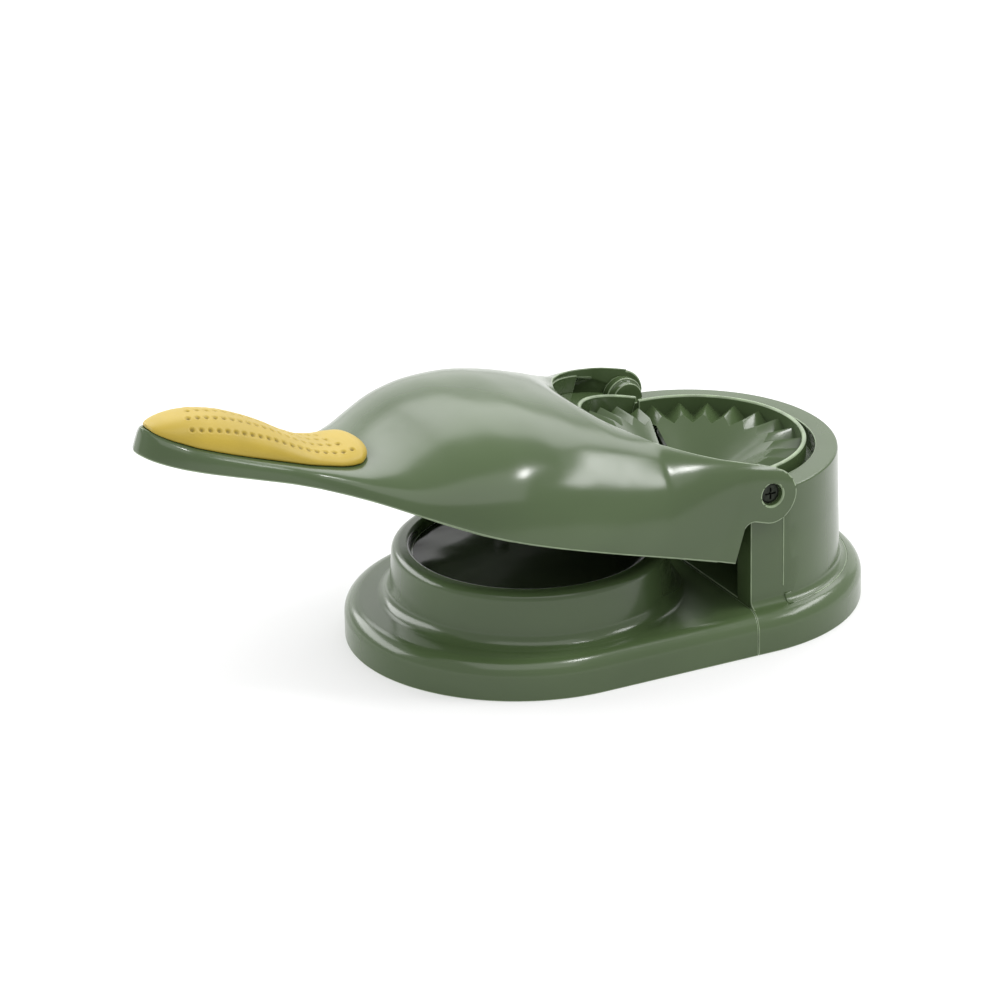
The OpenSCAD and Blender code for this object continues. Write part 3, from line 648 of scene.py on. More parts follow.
MATERIALS = {}
MAKERS = {"green": green_plastic, "edge": green_edge, "grip": soft_yellow, "film": clear_film,
          "film_edge": film_edge, "steel": screw_steel, "dark_steel": dark_steel,
          "rubber": black_rubber}


def finish(name):
    """One of the press's finishes, made when it is first asked for."""
    if name not in MATERIALS:
        MATERIALS[name] = MAKERS[name]()
    return MATERIALS[name]


# Base

class PRESS_OT_base(bpy.types.Operator):
    """Build the two base mouldings with rounded edges, and the plate that closes them"""

    bl_idname = "press.base"
    bl_label = "Base"

    # The parting lines on the tower's flat sides
    line_x, line_width, line_proud, line_low, line_high = 43.4, 0.34, 0.14, 20.5, 57.6
    # Round this place at the tower's foot, the edges have the plain finish, without the painted
    # highlight
    plain_x, plain_reach, plain_low, plain_high = 51, 7, 12, 32
    # The pedestal's draft at its foot, and its rounded places
    draft, fillet, rim_round, recess_round = 0.9, 5.0, 3.2, 1.6

    def execute(self, context):
        stand_for(soften(self.front()), "base", "base_front")
        stand_for(self.tower(), "base", "base_tower")
        soft_copies("base", ["bottom_plate"], flat=0)
        return {"FINISHED"}

    def tower(self):
        """The tower, with a thin parting line down each of its flat sides."""
        body = soften(frame_copy("base_tower"), flat=0)
        for face in body.data.polygons:
            x, _, z = face.center / MM
            if abs(x - self.plain_x) < self.plain_reach and self.plain_low < z < self.plain_high:
                face.material_index = 0
        near, far, out = self.line_x, self.line_x + self.line_width, self.line_proud
        lines = [prism("parting_line", [(near, y - out), (far, y - out), (far, y + out),
                                        (near, y + out)], self.line_low, self.line_high)
                 for y in (-FLAT_Y, FLAT_Y)]
        tower = joined("base_tower_look", [body] + lines, "green", "edge")
        # The parting lines get the edge finish, a painted highlight down each line
        for face in tower.data.polygons[-6 * len(lines):]:
            face.material_index = 1
        return tower

    def front(self):
        """The front half of the foot, with the pedestal that rises from it in a hollow curve."""
        body = self.half_foot()
        bend, rim, rise = self.recess_round, self.rim_round, PED_H + 4
        recess = ([(0, PED_H - RECESS_D), (RECESS_R, PED_H - RECESS_D)]
                  + arc((RECESS_R + bend, PED_H - bend), bend, 180, 90)
                  + [(RECESS_R + bend, rise), (0, rise)])
        cutters = [self.seam(), self.plate_space(),
                   spun("recess", recess, steps=180, place=self.pedestal_place())]
        foot = PED_R + self.draft + self.fillet
        profile = ([(0, DECK_H - 4), (foot, DECK_H - 4), (foot, DECK_H)]
                   + arc((foot, DECK_H + self.fillet), self.fillet, -90, -180, 16)[1:]
                   + arc((PED_R - rim, PED_H - rim), rim, 0, 90, 14) + [(0, PED_H)])
        carve(body, [spun("pedestal", profile, steps=180, place=self.pedestal_place())], "UNION")
        return carve(body, cutters)

    def pedestal_place(self):
        return Matrix.Translation((PED_X * MM, 0, 0))

    def half_foot(self):
        """The foot's round end and its straight stretch, a little past the seam."""
        profile = [(FOOT_R, 0)] + arc(
            (FOOT_R - SHOULDER_R, DECK_H - SHOULDER_R), SHOULDER_R, 0, 90, 20)
        turns = [radians(90 + 180 * k / 96) for k in range(97)]
        ends = ([(END_X, radians(90))] + [(-END_X, t) for t in turns]
                + [(END_X, radians(270))])
        points = [(x + r * cos(t), r * sin(t), h) for x, t in ends for r, h in profile]
        m, n = len(profile), len(ends)
        faces = [(i * m + j, (i + 1) * m + j, (i + 1) * m + j + 1, i * m + j + 1)
                 for i in range(n - 1) for j in range(m - 1)]
        faces.append(tuple(i * m for i in range(n)))
        faces.append(tuple(i * m + m - 1 for i in range(n)))
        faces.append(tuple(range(m)) + tuple((n - 1) * m + j for j in range(m - 1, -1, -1)))
        return face_out(make_piece("base_front_look", points, faces))

    def seam(self):
        """Everything behind the seam, which runs forward across the foot's edge."""
        past, slant = 80, 2.2
        edge = SEAM_X - slant * (past - FLAT_Y) / (FOOT_R - FLAT_Y)
        return prism("seam", [(edge, -past), (SEAM_X, -FLAT_Y), (SEAM_X, FLAT_Y), (edge, past),
                              (99, past), (99, -past)], -5, 40)

    def plate_space(self):
        inset = FOOT_R - 2.6
        outline = (arc((END_X + 4, 0), inset, -90, 90, 48) + arc((-END_X, 0), inset, 90, 270, 48))
        return prism("plate_space", outline, -3, 2.05)


# Film

class PRESS_OT_film(bpy.types.Operator):
    """Build the release film, which lies in the recess with its near edge curled up"""

    bl_idname = "press.film"
    bl_label = "Release Film"

    rings, steps = 40, 240
    thickness, play, seat = 0.25, 0.2, 0.12
    edge_from = 0.989
    curl_height, curl_from, curl_turn = 2.4, 0.9, radians(-104)

    def execute(self, context):
        low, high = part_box("release_film")
        centre = [(low[i] + high[i]) / 2 / MM for i in (0, 1)]
        radius = (high[0] - low[0]) / 2 / MM - self.play
        floor = low[2] / MM + self.seat
        rings, steps = self.rings, self.steps
        points = [(centre[0], centre[1], floor)]
        for i in range(1, rings + 1):
            # The last ring is a narrow one, for the edge's painted highlight
            out = 1 if i == rings else self.edge_from * (i / (rings - 1)) ** 0.8
            r = radius * out
            for k in range(steps):
                t = 2 * pi * k / steps
                points.append((centre[0] + r * cos(t), centre[1] + r * sin(t),
                               floor + self.lift(r / radius, t)))

        def ring(i, k):
            return 1 + (i - 1) * steps + k % steps

        faces = [(0, ring(1, k), ring(1, k + 1)) for k in range(steps)]
        faces += [(ring(i, k), ring(i + 1, k), ring(i + 1, k + 1), ring(i, k + 1))
                  for i in range(1, rings) for k in range(steps)]
        piece = make_piece("release_film_look", points, faces)
        dress(piece.data, "film", "film_edge")
        for face in piece.data.polygons[-steps:]:
            face.material_index = 1
        thicken(piece, self.thickness, 1.0).material_offset_rim = 1
        stand_for(settle(piece), "base", "release_film", slot="film")
        return {"FINISHED"}

    def lift(self, out, turn):
        """Height of the film over the recess's floor, at a share of its radius.

        The curl is at the very edge, outside the press disc when the lever is shut.
        """
        curl = max(0.0, cos(turn - self.curl_turn)) ** 1.2
        reach = max((out - self.curl_from) / (1 - self.curl_from), 0)
        wave = (0.10 * sin(3 * turn + 0.6) + 0.06 * sin(7 * turn)
                + 0.05 * sin(13 * turn + 1))
        return self.curl_height * curl * reach ** 2.6 + (0.13 + wave) * out ** 3


# Mould

def pleat_recipe():
    """Half of a bowl whose wall is folded into pleats, as one sheet."""
    g = Recipe("pleated_bowl", Pleats=int, Phase=float, Sharpness=float, Bowl_radius=float,
               Valley_radius=float, Bottom_radius=float, Slope=float, Rim_radius=float,
               Crest_height=float, Valley_height=float, Bowl_height=float,
               Material=bpy.types.Material)
    pleats, sharp = g.given("Pleats"), g.given("Sharpness")
    slope, bottom = g.given("Slope"), g.given("Bottom_radius")
    rows, crease = 40, 0.6
    grid = g.make("GeometryNodeMeshGrid", {
        "Size X": 1.0, "Size Y": 1.0, "Vertices X": pleats * 20 + 1, "Vertices Y": rows + 1})
    across, along, _ = g.parts(g.make("GeometryNodeInputPosition", {}))
    across, along = across + 0.5, along + 0.5
    turn = (across - 0.5) * pi
    wave = ((across * pleats + g.given("Phase")) * (2 * pi) - pi / 2).maths("SINE")
    fold = (wave * sharp).maths("ARCSINE") / (sharp.maths("ARCSINE") * 2) + 0.5
    run_out = g.given("Valley_radius") + fold * (g.given("Bowl_radius") - g.given("Valley_radius"))
    inner = (along / crease).maths("MINIMUM", 1.0)
    outer = ((along - crease) / (1 - crease)).maths("MAXIMUM", 0.0)
    radius = run_out * inner + (g.given("Rim_radius") - run_out) * outer

    def wall(r):
        return g.given("Bowl_height") - (g.given("Bowl_radius") - r) * slope.maths("TANGENT")

    tangent = bottom * slope.maths("SINE")
    centre = wall(tangent) + bottom * slope.maths("COSINE")
    bowl_r = run_out * inner
    cup = centre - (bottom * bottom - bowl_r * bowl_r).maths("MAXIMUM", 0.0).maths("SQRT")
    in_cup = bowl_r.maths("LESS_THAN", tangent)
    height = cup * in_cup + wall(bowl_r) * (1 - in_cup)
    rim = g.given("Valley_height") + fold * (g.given("Crest_height") - g.given("Valley_height"))
    height = height + (rim - height) * outer
    bent = g.make("GeometryNodeSetPosition", {
        "Geometry": grid,
        "Position": g.vector(radius * turn.maths("COSINE"), radius * turn.maths("SINE"), height)})
    g.close(g.make("GeometryNodeMergeByDistance", {"Geometry": bent, "Distance": 1e-6}))
    return g


def pleated_half(name, recipe, rim_radius, phase):
    """The pleated wall of one mould half, round the side towards +X."""
    size = bpy.context.scene.press_mould
    piece = make_piece(name, [(0, 0, 0)], [])
    recipe.use(piece, Pleats=size.pleats, Phase=phase, Sharpness=size.sharpness,
               Bowl_radius=size.bowl, Valley_radius=size.valley, Bottom_radius=0.016,
               Slope=radians(32.5), Rim_radius=rim_radius, Crest_height=-0.0004,
               Valley_height=-0.0054, Bowl_height=-0.0012, Material=finish("green"))
    if sum(p.normal.z for p in piece.data.polygons) <= 0:
        piece.data.flip_normals()
    thicken(piece, 2.0, -1.0)
    return settle(piece)


class PRESS_OT_mould(bpy.types.Operator):
    """Build both pleated halves of the folding mould and the ledge round the moving one"""

    bl_idname = "press.mould"
    bl_label = "Mould"

    # Gap between a half and the hinge's plane, and play between the closed rims
    split, play = 0.3, 0.4
    fixed_top, moving_top = 2.4, 3
    # Least tilt and height of a lip face that gets the edge finish, a painted highlight
    lip_tilt, lip_height = 0.35, 1.4

    def execute(self, context):
        size = context.scene.press_mould
        recipe = pleat_recipe()
        rim, wall = size.rim / MM, size.rim_wall / MM
        half_wall = wall / 2
        away = degrees(asin(self.split / rim))
        aside = Matrix.Translation((self.split * MM, 0, 0))

        # The fixed half stands in the tower
        stand = Matrix.Translation(HINGE)
        bowl = pleated_half("fixed_bowl", recipe, (rim - half_wall - self.split) * MM, 0.0)
        bowl.data.transform(stand @ aside)
        flange_r, flange_low, flange_top = 44.6, -9.5, -7.3
        ring = spun("fixed_ring", [(rim - wall, flange_low), (flange_r, flange_low),
                                   (flange_r, flange_top), (rim, flange_top)]
                    + arc((rim - half_wall, self.fixed_top - half_wall), half_wall, 0, 180),
                    -90 + away, 90 - away, 120, stand)
        self.deliver("fixed_mould_half", "base", bowl, [ring])

        # The moving half hangs in the lever and mirrors it
        inner = rim + self.play
        outer = inner + wall
        turned = LEVER_PLACE @ Matrix.Rotation(pi, 4, "Z")
        bowl = pleated_half("moving_bowl", recipe, (inner - 2.8) * MM, 0.5)
        bowl.data.transform(turned @ aside)
        step_r, step_low, step_top = inner - 3.4, -7.6, -5.6
        ring = spun("moving_ring", [(step_r, step_low), (outer, step_low)]
                    + arc((outer - half_wall, self.moving_top - half_wall), half_wall, 0, 180)
                    + [(inner, step_top), (step_r, step_top)],
                    -90 + away, 90 - away, 120, turned)
        flange_r, flange_low, flange_top = 51.5, -4.1, -1.9
        flange = spun("moving_flange", [(outer - 0.5, flange_low), (flange_r, flange_low),
                                        (flange_r, flange_top), (outer - 0.5, flange_top)],
                      -79, 79, 100, turned)
        self.deliver("moving_mould_half", "lever", bowl, [ring, flange])
        soft_copies("lever", ["mould_carrier"])
        return {"FINISHED"}

    def deliver(self, node, body, bowl, rings):
        """Joins a half; only the lips of its rings, which face up, have the edge finish, a painted
        highlight.
        """
        for face in bowl.data.polygons:
            face.material_index = 0
        up = (LEVER_PLACE.to_3x3() if body == "lever" else Matrix.Identity(3)) @ Vector((0, 0, 1))
        for ring in rings:
            for face in soften(ring).data.polygons:
                height = (face.center - HINGE).dot(up) / MM
                if face.normal.dot(up) > self.lip_tilt and height > self.lip_height:
                    face.material_index = 1
        piece = joined(node + "_look", [bowl] + rings, "green", "edge")
        stand_for(piece, body, node, crease=28)


# Lever

class PRESS_OT_lever(bpy.types.Operator):
    """Build the lever's domed shell with its ears, its tray and its press disc"""

    bl_idname = "press.lever"
    bl_label = "Lever"

    rows = 44
    ear_r, ear_back, ear_drop = 9.2, 0.9, 1.18
    rear_x, neck_r = -7.6, 4.0
    step_from, step_run, step_out = 13.2, 2.6, 0.30
    tip_from, tip_wall = 200, 3

    def execute(self, context):
        shell = self.loft()
        carve(shell, [self.behind_ears()] + self.screw_recesses())
        soften(shell, least=40, flat=0, width=0.0006)
        inside = [soften(piece) for piece in self.inner_pieces()]
        whole = joined("lever_shell_look", [shell] + inside, "green", "edge")
        stand_for(whole, "lever", "lever_shell")
        soft_copies("lever", ["lever_tray", "press_disc"])
        return {"FINISHED"}

    def stations(self):
        """Places of the sections, and the number of the first one past the opening."""
        front = [-11, -9, -7, -5, -3, -1]
        arc_part = [OPEN_X * sin(radians(90 * k / 44)) for k in range(45)]
        s, back = OPEN_X, []
        while s < 219.2:
            s += min(0.6 + (s - OPEN_X) * 0.06, 2.2, 0.35 + (LEVER_LEN - s) * 0.1)
            back.append(s)
        tip = [220.2, 220.7, LEVER_LEN]
        return front + arc_part + back + tip, len(front) + len(arc_part) - 1

    def ear_step(self, s):
        """The ear stands a little proud of the cheek in front of it."""
        u = min(max((self.step_from - s) / self.step_run, 0), 1)
        return self.step_out * u * u * (3 - 2 * u)

    def ring(self, s, inner):
        """The outer or the inner line of one section, from one lower edge to the other."""
        width, top, x = PLAN(s) + self.ear_step(s), CROWN(s), s
        if inner:
            width, top = max(PLAN(s) - WALL, 0.3 * PLAN(s)), top - WALL
            tip = LEVER_LEN - self.tip_from
            x = min(s, self.tip_from) + max(s - self.tip_from, 0) * (tip - self.tip_wall) / tip
        points = []
        for side in (-1, 1):
            for j in range(self.rows + 1):
                step = j if side < 0 else self.rows - j
                y, h = section(s, 90 * step / self.rows, width, top)
                points.append((-x, side * y, h))
        return points

    def loft(self):
        places, full = self.stations()
        n, rows, c = len(places), self.rows, 2 * self.rows + 2
        points = [p for inner in (False, True) for s in places for p in self.ring(s, inner)]

        def at(i, j, inner):
            if i >= full and j == rows + 1:
                j = rows
            return (n * c if inner else 0) + i * c + j

        def wall(a, b, back=False):
            """The face between the outer and the inner line, along the edge from a to b."""
            rest = [at(*b, False), at(*b, True), at(*a, True)]
            return tuple([at(*a, False)] + (rest[::-1] if back else rest))

        faces = []
        for i in range(n - 1):
            for j in range(c - 1):
                if j != rows:
                    faces += [(at(i, j, inner), at(i + 1, j, inner), at(i + 1, j + 1, inner),
                               at(i, j + 1, inner)) for inner in (False, True)]
            faces += [wall((i, j), (i + 1, j), back=True) for j in (0, c - 1)]
            if i < full:
                faces += [wall((i, j), (i + 1, j)) for j in (rows, rows + 1)]
        faces += [wall((0, j), (0, j + 1)) for j in range(c - 1) if j != rows]
        m = n - 1
        faces += [(at(m, j, inner), at(m, c - 1 - j, inner), at(m, c - 2 - j, inner),
                   at(m, j + 1, inner)) for inner in (False, True) for j in range(rows)]
        faces.append(wall((m, 0), (m, c - 1), back=True))
        faces = [tuple(dict.fromkeys(f)) for f in faces]
        faces = [f for f in faces if len(f) > 2]
        return face_out(make_piece("lever_shell_loft", points, faces, LEVER_PLACE))

    def behind_ears(self):
        """The solid that leaves the two ears when it is cut away behind the shell."""
        back, r, neck, x = self.ear_back, self.ear_r, self.neck_r, self.rear_x
        low = -r * self.ear_drop
        outline = ([(x, -60), (x, low - neck)] + arc((x + neck, low - neck), neck, 180, 90)[1:]
                   + [(back + a, b * self.ear_drop) for a, b in arc((0, 0), r, -90, 0, 24)]
                   + arc((back, 0), r, 0, 90, 24)[1:] + [(back, 60), (60, 60), (60, -60)])
        return prism("behind_ears", outline, -70, 70, "Y", LEVER_PLACE)

    def screw_recesses(self):
        profile = [(0, 55.6), (4.1, 55.6), (4.1, 57.6), (4.5, 60.5), (0, 60.5)]
        return [spun("screw_recess", profile, steps=64, place=side) for side in self.sides()]

    def inner_pieces(self):
        """The collar under the opening's edge and the ears' bosses."""
        low, high, wall = -1.9, 6.6, 1.8
        collar = spun("collar", [(OPEN_X, low), (OPEN_X + wall, low), (OPEN_X + wall, high),
                                 (OPEN_X, high)], 116, 244, 128, LEVER_PLACE)
        boss = [(2.56, 54.6), (7.0, 54.6), (7.0, 56.0), (2.56, 56.0)]
        return [collar] + [spun("boss", boss, steps=64, place=side) for side in self.sides()]

    def sides(self):
        """The places of a shape that stands on either ear, along the hinge's axis."""
        return [LEVER_PLACE @ Matrix.Rotation(radians(-90 * side), 4, "X")
                for side in (-1, 1)]


# Grip

GRIP_W = 13.8
GRIP_START, GRIP_END = 135.4, 219.4
GRIP_BEND = 0.9
GRIP_PLAN = Curve([(135.4, 2), (136.2, 7), (138.2, 11.2), (141.6, GRIP_W + 0.6),
                   (147, GRIP_W + 1.6), (158, GRIP_W + 0.4), (172, GRIP_W - 0.2), (190, GRIP_W),
                   (203, GRIP_W - 0.8), (211, GRIP_W - 3.2), (216, GRIP_W - 6.4),
                   (218.6, GRIP_W - 9.6), (219.4, 1.4)])
GRIP_TOP = Curve([(135.4, -14.4), (137.2, -12.6), (140, -12), (144, -13), (149.4, -14.8),
                  (156, -15.2), (164, -14), (176, -11), (184, -9.6), (193, -8.8), (201, -9.3),
                  (207, -10.5), (214, -13.2), (219.4, -16.4)])


def grip_point(s, t):
    """A point of the grip's crowned top: t is 0 at the near edge and 180 at the far one."""
    half = GRIP_PLAN(s)
    lean = cos(radians(t))
    seat = shell_over(s, half) + 0.7
    y = -half * copysign(abs(lean) ** GRIP_BEND, lean)
    rise = max(sin(radians(t)), 0) ** GRIP_BEND
    return (-s, y, seat + (GRIP_TOP(s) - seat) * rise)


def dimple_recipe():
    """Presses a round dimple into a surface at each of the given places."""
    g = Recipe("dimples", Places=bpy.types.Object, Radius=float, Depth=float,
               Material=bpy.types.Material)
    places = g.node("GeometryNodeObjectInfo", {"transform_space": "ORIGINAL"}, {
        "Object": g.given("Places")}).outputs["Geometry"]
    near = g.node("GeometryNodeProximity", {"target_element": "POINTS"}, {0: places})
    away = Value(g, near.outputs["Distance"]) / g.given("Radius")
    press = (1 - away.over(0.15, 1.0)) * g.given("Depth")
    swell = away.over(0.9, 1.15) * (1 - away.over(1.15, 1.7)) * g.given("Depth") * 0.12
    shift = g.node("ShaderNodeVectorMath", {"operation": "SCALE"}, {
        0: g.make("GeometryNodeInputNormal", {}), "Scale": swell - press}).outputs[0]
    # The stored depth also drives the grip's painted shade in the dimples
    marked = g.make("GeometryNodeStoreNamedAttribute", {
        "Geometry": g.start.outputs[0], "Name": "dimple", "Value": press / g.given("Depth")},
        data_type="FLOAT", domain="POINT")
    g.close(g.make("GeometryNodeSetPosition", {"Geometry": marked, "Offset": shift}))
    return g


class PRESS_OT_grip(bpy.types.Operator):
    """Build the soft grip with its rows of dimples"""

    bl_idname = "press.grip"
    bl_label = "Grip"

    across, along = 84, 230
    # Each row of dimples: its share of the half width at both ends, and where it starts and ends
    rows = ((-0.68, -0.83, 144, 207), (-0.32, -0.43, 147, 207),
            (0.03, 0.02, 149, 205), (0.4, 0.4, 150, 203))

    def execute(self, context):
        size = context.scene.press_grip
        top = self.pad()
        places = make_piece("dimple_places", self.places(size.pitch / MM), [], LEVER_PLACE)
        dimple_recipe().use(top, Places=places, Radius=size.radius, Depth=size.depth,
                            Material=finish("grip"))
        bpy.data.objects.remove(places)
        stand_for(top, "lever", "grip_pad", slot="grip_rubber", crease=50)
        return {"FINISHED"}

    def pad(self):
        """The closed pad: its crowned top and its seat on the shell."""
        stations = [GRIP_START + (GRIP_END - GRIP_START)
                    * (0.5 - 0.5 * cos(pi * k / self.along))
                    for k in range(self.along + 1)]
        c = 2 * self.across
        points = []
        for s in stations:
            points += [grip_point(s, 180 * j / self.across) for j in range(self.across + 1)]
            half = GRIP_PLAN(s)
            for j in range(1, self.across):
                y = half * (1 - 2 * j / self.across)
                points.append((-s, y, shell_over(s, y) + 0.3))
        n = len(stations)
        faces = [(i * c + j, i * c + (j + 1) % c, (i + 1) * c + (j + 1) % c, (i + 1) * c + j)
                 for i in range(n - 1) for j in range(c)]
        faces += [tuple(range(c)), tuple((n - 1) * c + j for j in range(c))]
        return face_out(make_piece("grip_pad_look", points, faces, LEVER_PLACE))

    def places(self, pitch):
        """Centres of the dimples, in rows along the grip."""
        places = []
        for near, far, first, last in self.rows:
            count = round((last - first) / pitch)
            for k in range(count + 1):
                share = near + (far - near) * k / count
                lean = acos(-copysign(abs(share) ** (1 / GRIP_BEND), share))
                places.append(grip_point(first + (last - first) * k / count, degrees(lean)))
        return places


# Screws and pads

def screw_recipe():
    """Cross-head screws on points, each along the point's own axis."""
    g = Recipe("screws", Head_radius=float, Head_height=float, Shank_radius=float,
               Shank_length=float, Cross_length=float, Cross_width=float, Cross_depth=float,
               Material=bpy.types.Material)
    radius, height = g.given("Head_radius"), g.given("Head_height")

    def lifted(geometry, by):
        return g.make("GeometryNodeTransform", {
            "Geometry": geometry, "Translation": g.vector(0.0, 0.0, by)})

    disc = g.make("GeometryNodeMeshCylinder", {
        "Vertices": 40, "Radius": radius, "Depth": height * 0.6})
    crown = g.make("GeometryNodeMeshCone", {
        "Vertices": 40, "Radius Top": radius * 0.72, "Radius Bottom": radius,
        "Depth": height * 0.4})
    head = g.make("GeometryNodeMeshBoolean", {
        1: [lifted(disc, height * 0.3), lifted(crown, height * 0.6)]}, operation="UNION")
    depth = g.given("Cross_depth") * 2
    sides = (g.given("Cross_length"), g.given("Cross_width"))
    slots = [lifted(g.make("GeometryNodeMeshCube", {"Size": g.vector(*size, depth)}), height)
             for size in (sides[::-1], sides)]
    cut = g.make("GeometryNodeMeshBoolean", {0: head, 1: slots}, operation="DIFFERENCE")
    shank = g.make("GeometryNodeMeshCylinder", {
        "Vertices": 24, "Radius": g.given("Shank_radius"), "Depth": g.given("Shank_length")})
    whole = g.make("GeometryNodeJoinGeometry", {
        0: [cut, lifted(shank, g.given("Shank_length") * -0.5)]})
    axis = g.make("GeometryNodeInputNamedAttribute", {"Name": "axis"}, data_type="FLOAT_VECTOR")
    turn = g.node("FunctionNodeAlignRotationToVector", {"axis": "Z"}, {"Vector": axis})
    g.close(g.make("GeometryNodeInstanceOnPoints", {
        "Points": g.make("GeometryNodeMeshToPoints", {"Mesh": g.start.outputs[0]}),
        "Instance": whole, "Rotation": turn.outputs[0]}))
    return g


class PRESS_OT_screws(bpy.types.Operator):
    """Build the screws, with one piece for each group of like screws"""

    bl_idname = "press.screws"
    bl_label = "Screws"

    # Head radius and height, shank radius and length of the cross, in metres
    small = (0.0026, 0.0014, 0.00115, 0.003)
    large = (0.0028, 0.0008, 0.0015, 0.0032)
    pivot = (0.0037, 0.0011, 0.0025, 0.0044)
    # Node, body, direction of the heads, sizes, shank length and finish
    groups = (
        ("mould_screws", "base", (0, 0, -1), small, 0.0048, "steel"),
        ("base_screws", "base", (0, 0, -1), large, 0.0102, "steel"),
        ("tray_screws", "lever", (0, 0, -1), small, 0.0045, "steel"),
        ("disc_screws", "lever", (0, 0, 1), small, 0.0043, "steel"),
        ("carrier_screws", "lever", (0, 0, -1), small, 0.0034, "steel"),
        ("pivot_screw_near", "base", (0, -1, 0), pivot, 0.0063, "dark_steel"),
        ("pivot_screw_far", "base", (0, 1, 0), pivot, 0.0063, "dark_steel"),
    )

    def execute(self, context):
        recipe = screw_recipe()
        size = context.scene.press_screws
        for node, body, axis, sizes, shank, metal in self.groups:
            radius, height, shank_radius, cross = sizes
            axis = Vector(axis)
            if body == "lever":
                axis = LEVER_PLACE.to_3x3() @ axis
            heads = [spot - axis * height for spot in self.head_ends(node, axis)]
            piece = make_piece(node + "_look", [h / MM for h in heads], [])
            for item in piece.data.attributes.new("axis", "FLOAT_VECTOR", "POINT").data:
                item.vector = axis
            recipe.use(piece, Head_radius=radius, Head_height=height, Shank_radius=shank_radius,
                       Cross_length=cross, Shank_length=shank, Cross_width=size.cross_width,
                       Cross_depth=min(size.cross_depth, height * 0.7), Material=finish(metal))
            stand_for(piece, body, node, slot="steel", crease=30)
        return {"FINISHED"}

    def head_ends(self, node, axis):
        """The middle of each separate solid's end along an axis."""
        bm = bmesh.new()
        bm.from_mesh(frame["nodes"][node].data)
        bmesh.ops.remove_doubles(bm, verts=bm.verts, dist=2e-6)
        seen, ends = set(), []
        for start in bm.verts:
            if start in seen:
                continue
            group, queue = [], [start]
            seen.add(start)
            while queue:
                v = queue.pop()
                group.append(v.co.copy())
                for edge in v.link_edges:
                    other = edge.other_vert(v)
                    if other not in seen:
                        seen.add(other)
                        queue.append(other)
            high = max(p.dot(axis) for p in group)
            near = [p for p in group if p.dot(axis) > high - 1e-5]
            ends.append(sum(near, Vector()) / len(near))
        bm.free()
        return ends


class PRESS_OT_pads(bpy.types.Operator):
    """Build the four rubber pads, each with a ring groove"""

    bl_idname = "press.pads"
    bl_label = "Rubber Pads"

    def execute(self, context):
        nodes = ["foot_pad_%d" % i for i in range(1, 5)]
        pads = []
        for node in nodes:
            low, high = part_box(node)
            centre = Matrix.Translation(((low[0] + high[0]) / 2, (low[1] + high[1]) / 2, low[2]))
            radius, height = (high[0] - low[0]) / 2 / MM, (high[2] - low[2]) / MM
            profile = ([(0, 0), (3.4, 0), (3.6, 0.3), (4.2, 0.3), (4.4, 0)]
                       + arc((radius - 0.4, 0.4), 0.4, -90, 0, 5) + [(radius, height), (0, height)])
            pads.append(spun(node + "_part", profile, steps=64, place=centre))
        stand_for(joined("foot_pads", pads, "rubber"), "base", *nodes, slot="pad_rubber")
        return {"FINISHED"}


# Stage

LIGHT_CENTRE = Vector((-0.02, 0, 0.05))
# Azimuth from +X towards +Y and elevation in degrees, distance and size in metres, power in watts
LIGHTS = {
    "softbox_right": (-14, 41, 1.6, (1.15, 0.30), 10),
    "softbox_left": (128, 25, 1.6, (1.8, 0.6), 17),
    "lamp_top": (-42, 68, 1.5, (0.26, 0.14), 4.5),
    "backdrop": (63, 13, 2.2, (3.4, 0.9), 7),
    "softbox_back": (58, 44, 1.9, (2.0, 0.9), 16),
    "overhead": (-112, 64, 1.7, (1.7, 1.3), 9),
}


def area_light(name, azimuth, elevation, distance, size, power):
    """A softbox that faces the press."""
    a, e = radians(azimuth), radians(elevation)
    place = LIGHT_CENTRE + distance * Vector(
        (cos(a) * cos(e), sin(a) * cos(e), sin(e)))
    data = bpy.data.lights.new(name, "AREA")
    data.shape = "RECTANGLE"
    data.size, data.size_y = size
    data.energy = power
    lamp = new_object(name, data)
    lamp.location = place
    lamp.rotation_euler = (LIGHT_CENTRE - place).to_track_quat("-Z", "Y").to_euler()


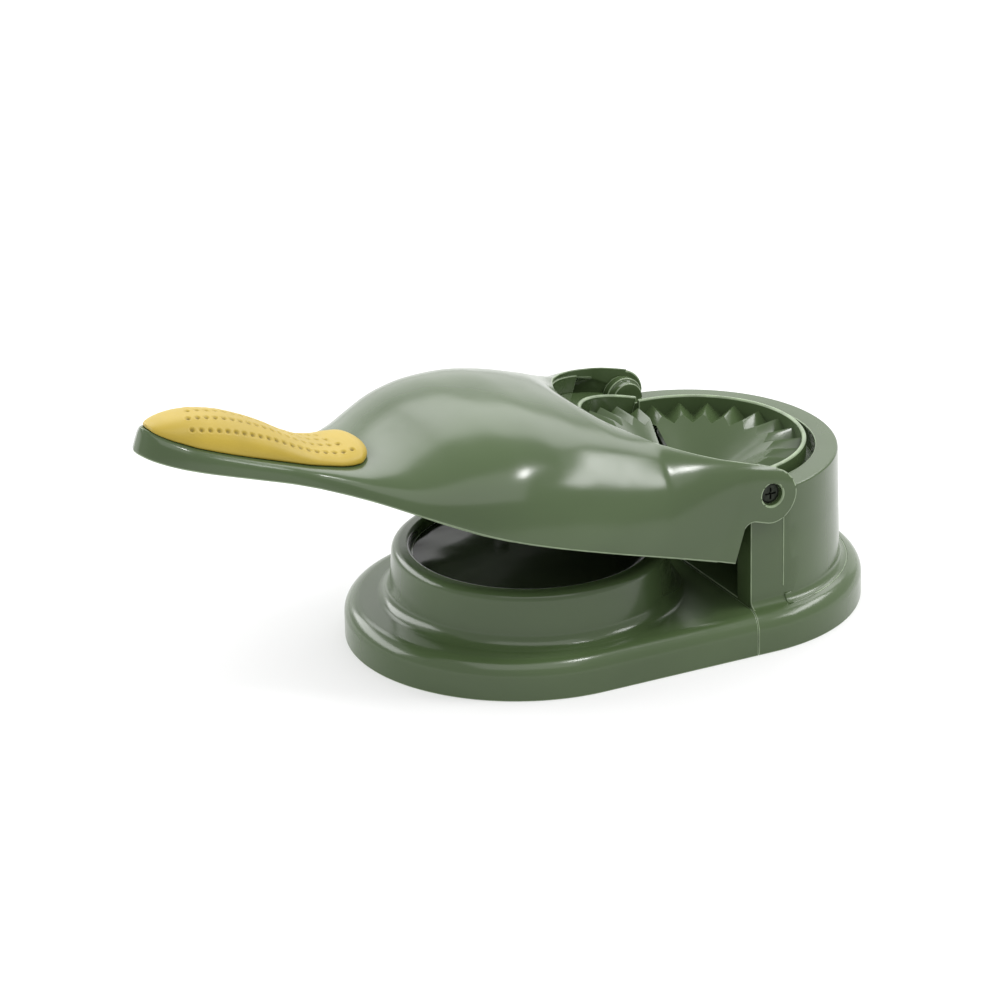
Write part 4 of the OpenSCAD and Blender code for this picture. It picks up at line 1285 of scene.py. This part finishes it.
class PRESS_OT_stage(bpy.types.Operator):
    """Set up the floor, the light and the camera"""

    bl_idname = "press.stage"
    bl_label = "Stage"

    def execute(self, context):
        self.floor()
        self.light(context.scene)
        self.camera(context.scene, context.scene.press_stage)
        return {"FINISHED"}

    def floor(self):
        half = 6.0
        mesh = bpy.data.meshes.new("floor")
        mesh.from_pydata([(-half, -half, 0), (half, -half, 0), (half, half, 0), (-half, half, 0)],
                         [], [(0, 1, 2, 3)])
        f = Finish("pale_floor")
        f.set(Base_Color=(0.50, 0.50, 0.50, 1.0), Roughness=0.9,
              Emission_Color=(1.0, 1.0, 1.0, 1.0), Emission_Strength=0.35)
        mesh.materials.append(f.material)
        new_object("floor", mesh)

    def light(self, scene):
        world = bpy.data.worlds.new("studio")
        world.use_nodes = True
        background = world.node_tree.nodes["Background"]
        background.inputs["Color"].default_value = (1, 1, 1, 1)
        background.inputs["Strength"].default_value = 0.74
        scene.world = world
        for name, place in LIGHTS.items():
            area_light(name, *place)
        scene.view_settings.view_transform = "Standard"
        scene.view_settings.look = "None"

    def camera(self, scene, settings):
        a, e, roll = settings.azimuth, settings.elevation, settings.roll
        forward = Vector((sin(a) * cos(e), cos(a) * cos(e), -sin(e)))
        right = Vector((cos(a), -sin(a), 0))
        up = right.cross(forward)
        right, up = (right * cos(roll) + up * sin(roll),
                     up * cos(roll) - right * sin(roll))
        data = bpy.data.cameras.new("camera")
        data.sensor_width = 36.0
        data.lens = settings.focal_px * data.sensor_width / settings.frame_px
        data.clip_end = 50
        camera = new_object("camera", data)
        axes = Matrix((right, up, -forward)).transposed().to_4x4()
        place = Vector(settings.target) - forward * settings.distance
        camera.matrix_world = Matrix.Translation(place) @ axes
        scene.camera = camera


class PRESS_PT_panel(bpy.types.Panel):
    """Lists the steps that build the press"""

    bl_idname = "PRESS_PT_panel"
    bl_label = "Empanada Press"
    bl_space_type = "VIEW_3D"
    bl_region_type = "UI"
    bl_category = "Press"

    def draw(self, context):
        for step in STEPS:
            self.layout.operator(step.bl_idname)


SETTINGS = {
    "press_finish": PressFinish, "press_mould": MouldSettings, "press_grip": GripSettings,
    "press_screws": ScrewSettings, "press_stage": StageSettings,
}
STEPS = (PRESS_OT_stage, PRESS_OT_base, PRESS_OT_pads, PRESS_OT_film, PRESS_OT_mould,
         PRESS_OT_lever, PRESS_OT_grip, PRESS_OT_screws)
CLASSES = tuple(SETTINGS.values()) + STEPS + (PRESS_PT_panel,)


def register():
    for cls in CLASSES:
        bpy.utils.register_class(cls)
    for name, group in SETTINGS.items():
        setattr(bpy.types.Scene, name, bpy.props.PointerProperty(type=group))


def unregister():
    for name in SETTINGS:
        delattr(bpy.types.Scene, name)
    for cls in reversed(CLASSES):
        bpy.utils.unregister_class(cls)


def main():
    register()
    for step in STEPS:
        group, name = step.bl_idname.split(".")
        getattr(getattr(bpy.ops, group), name)()


if __name__ == "__main__":
    main()
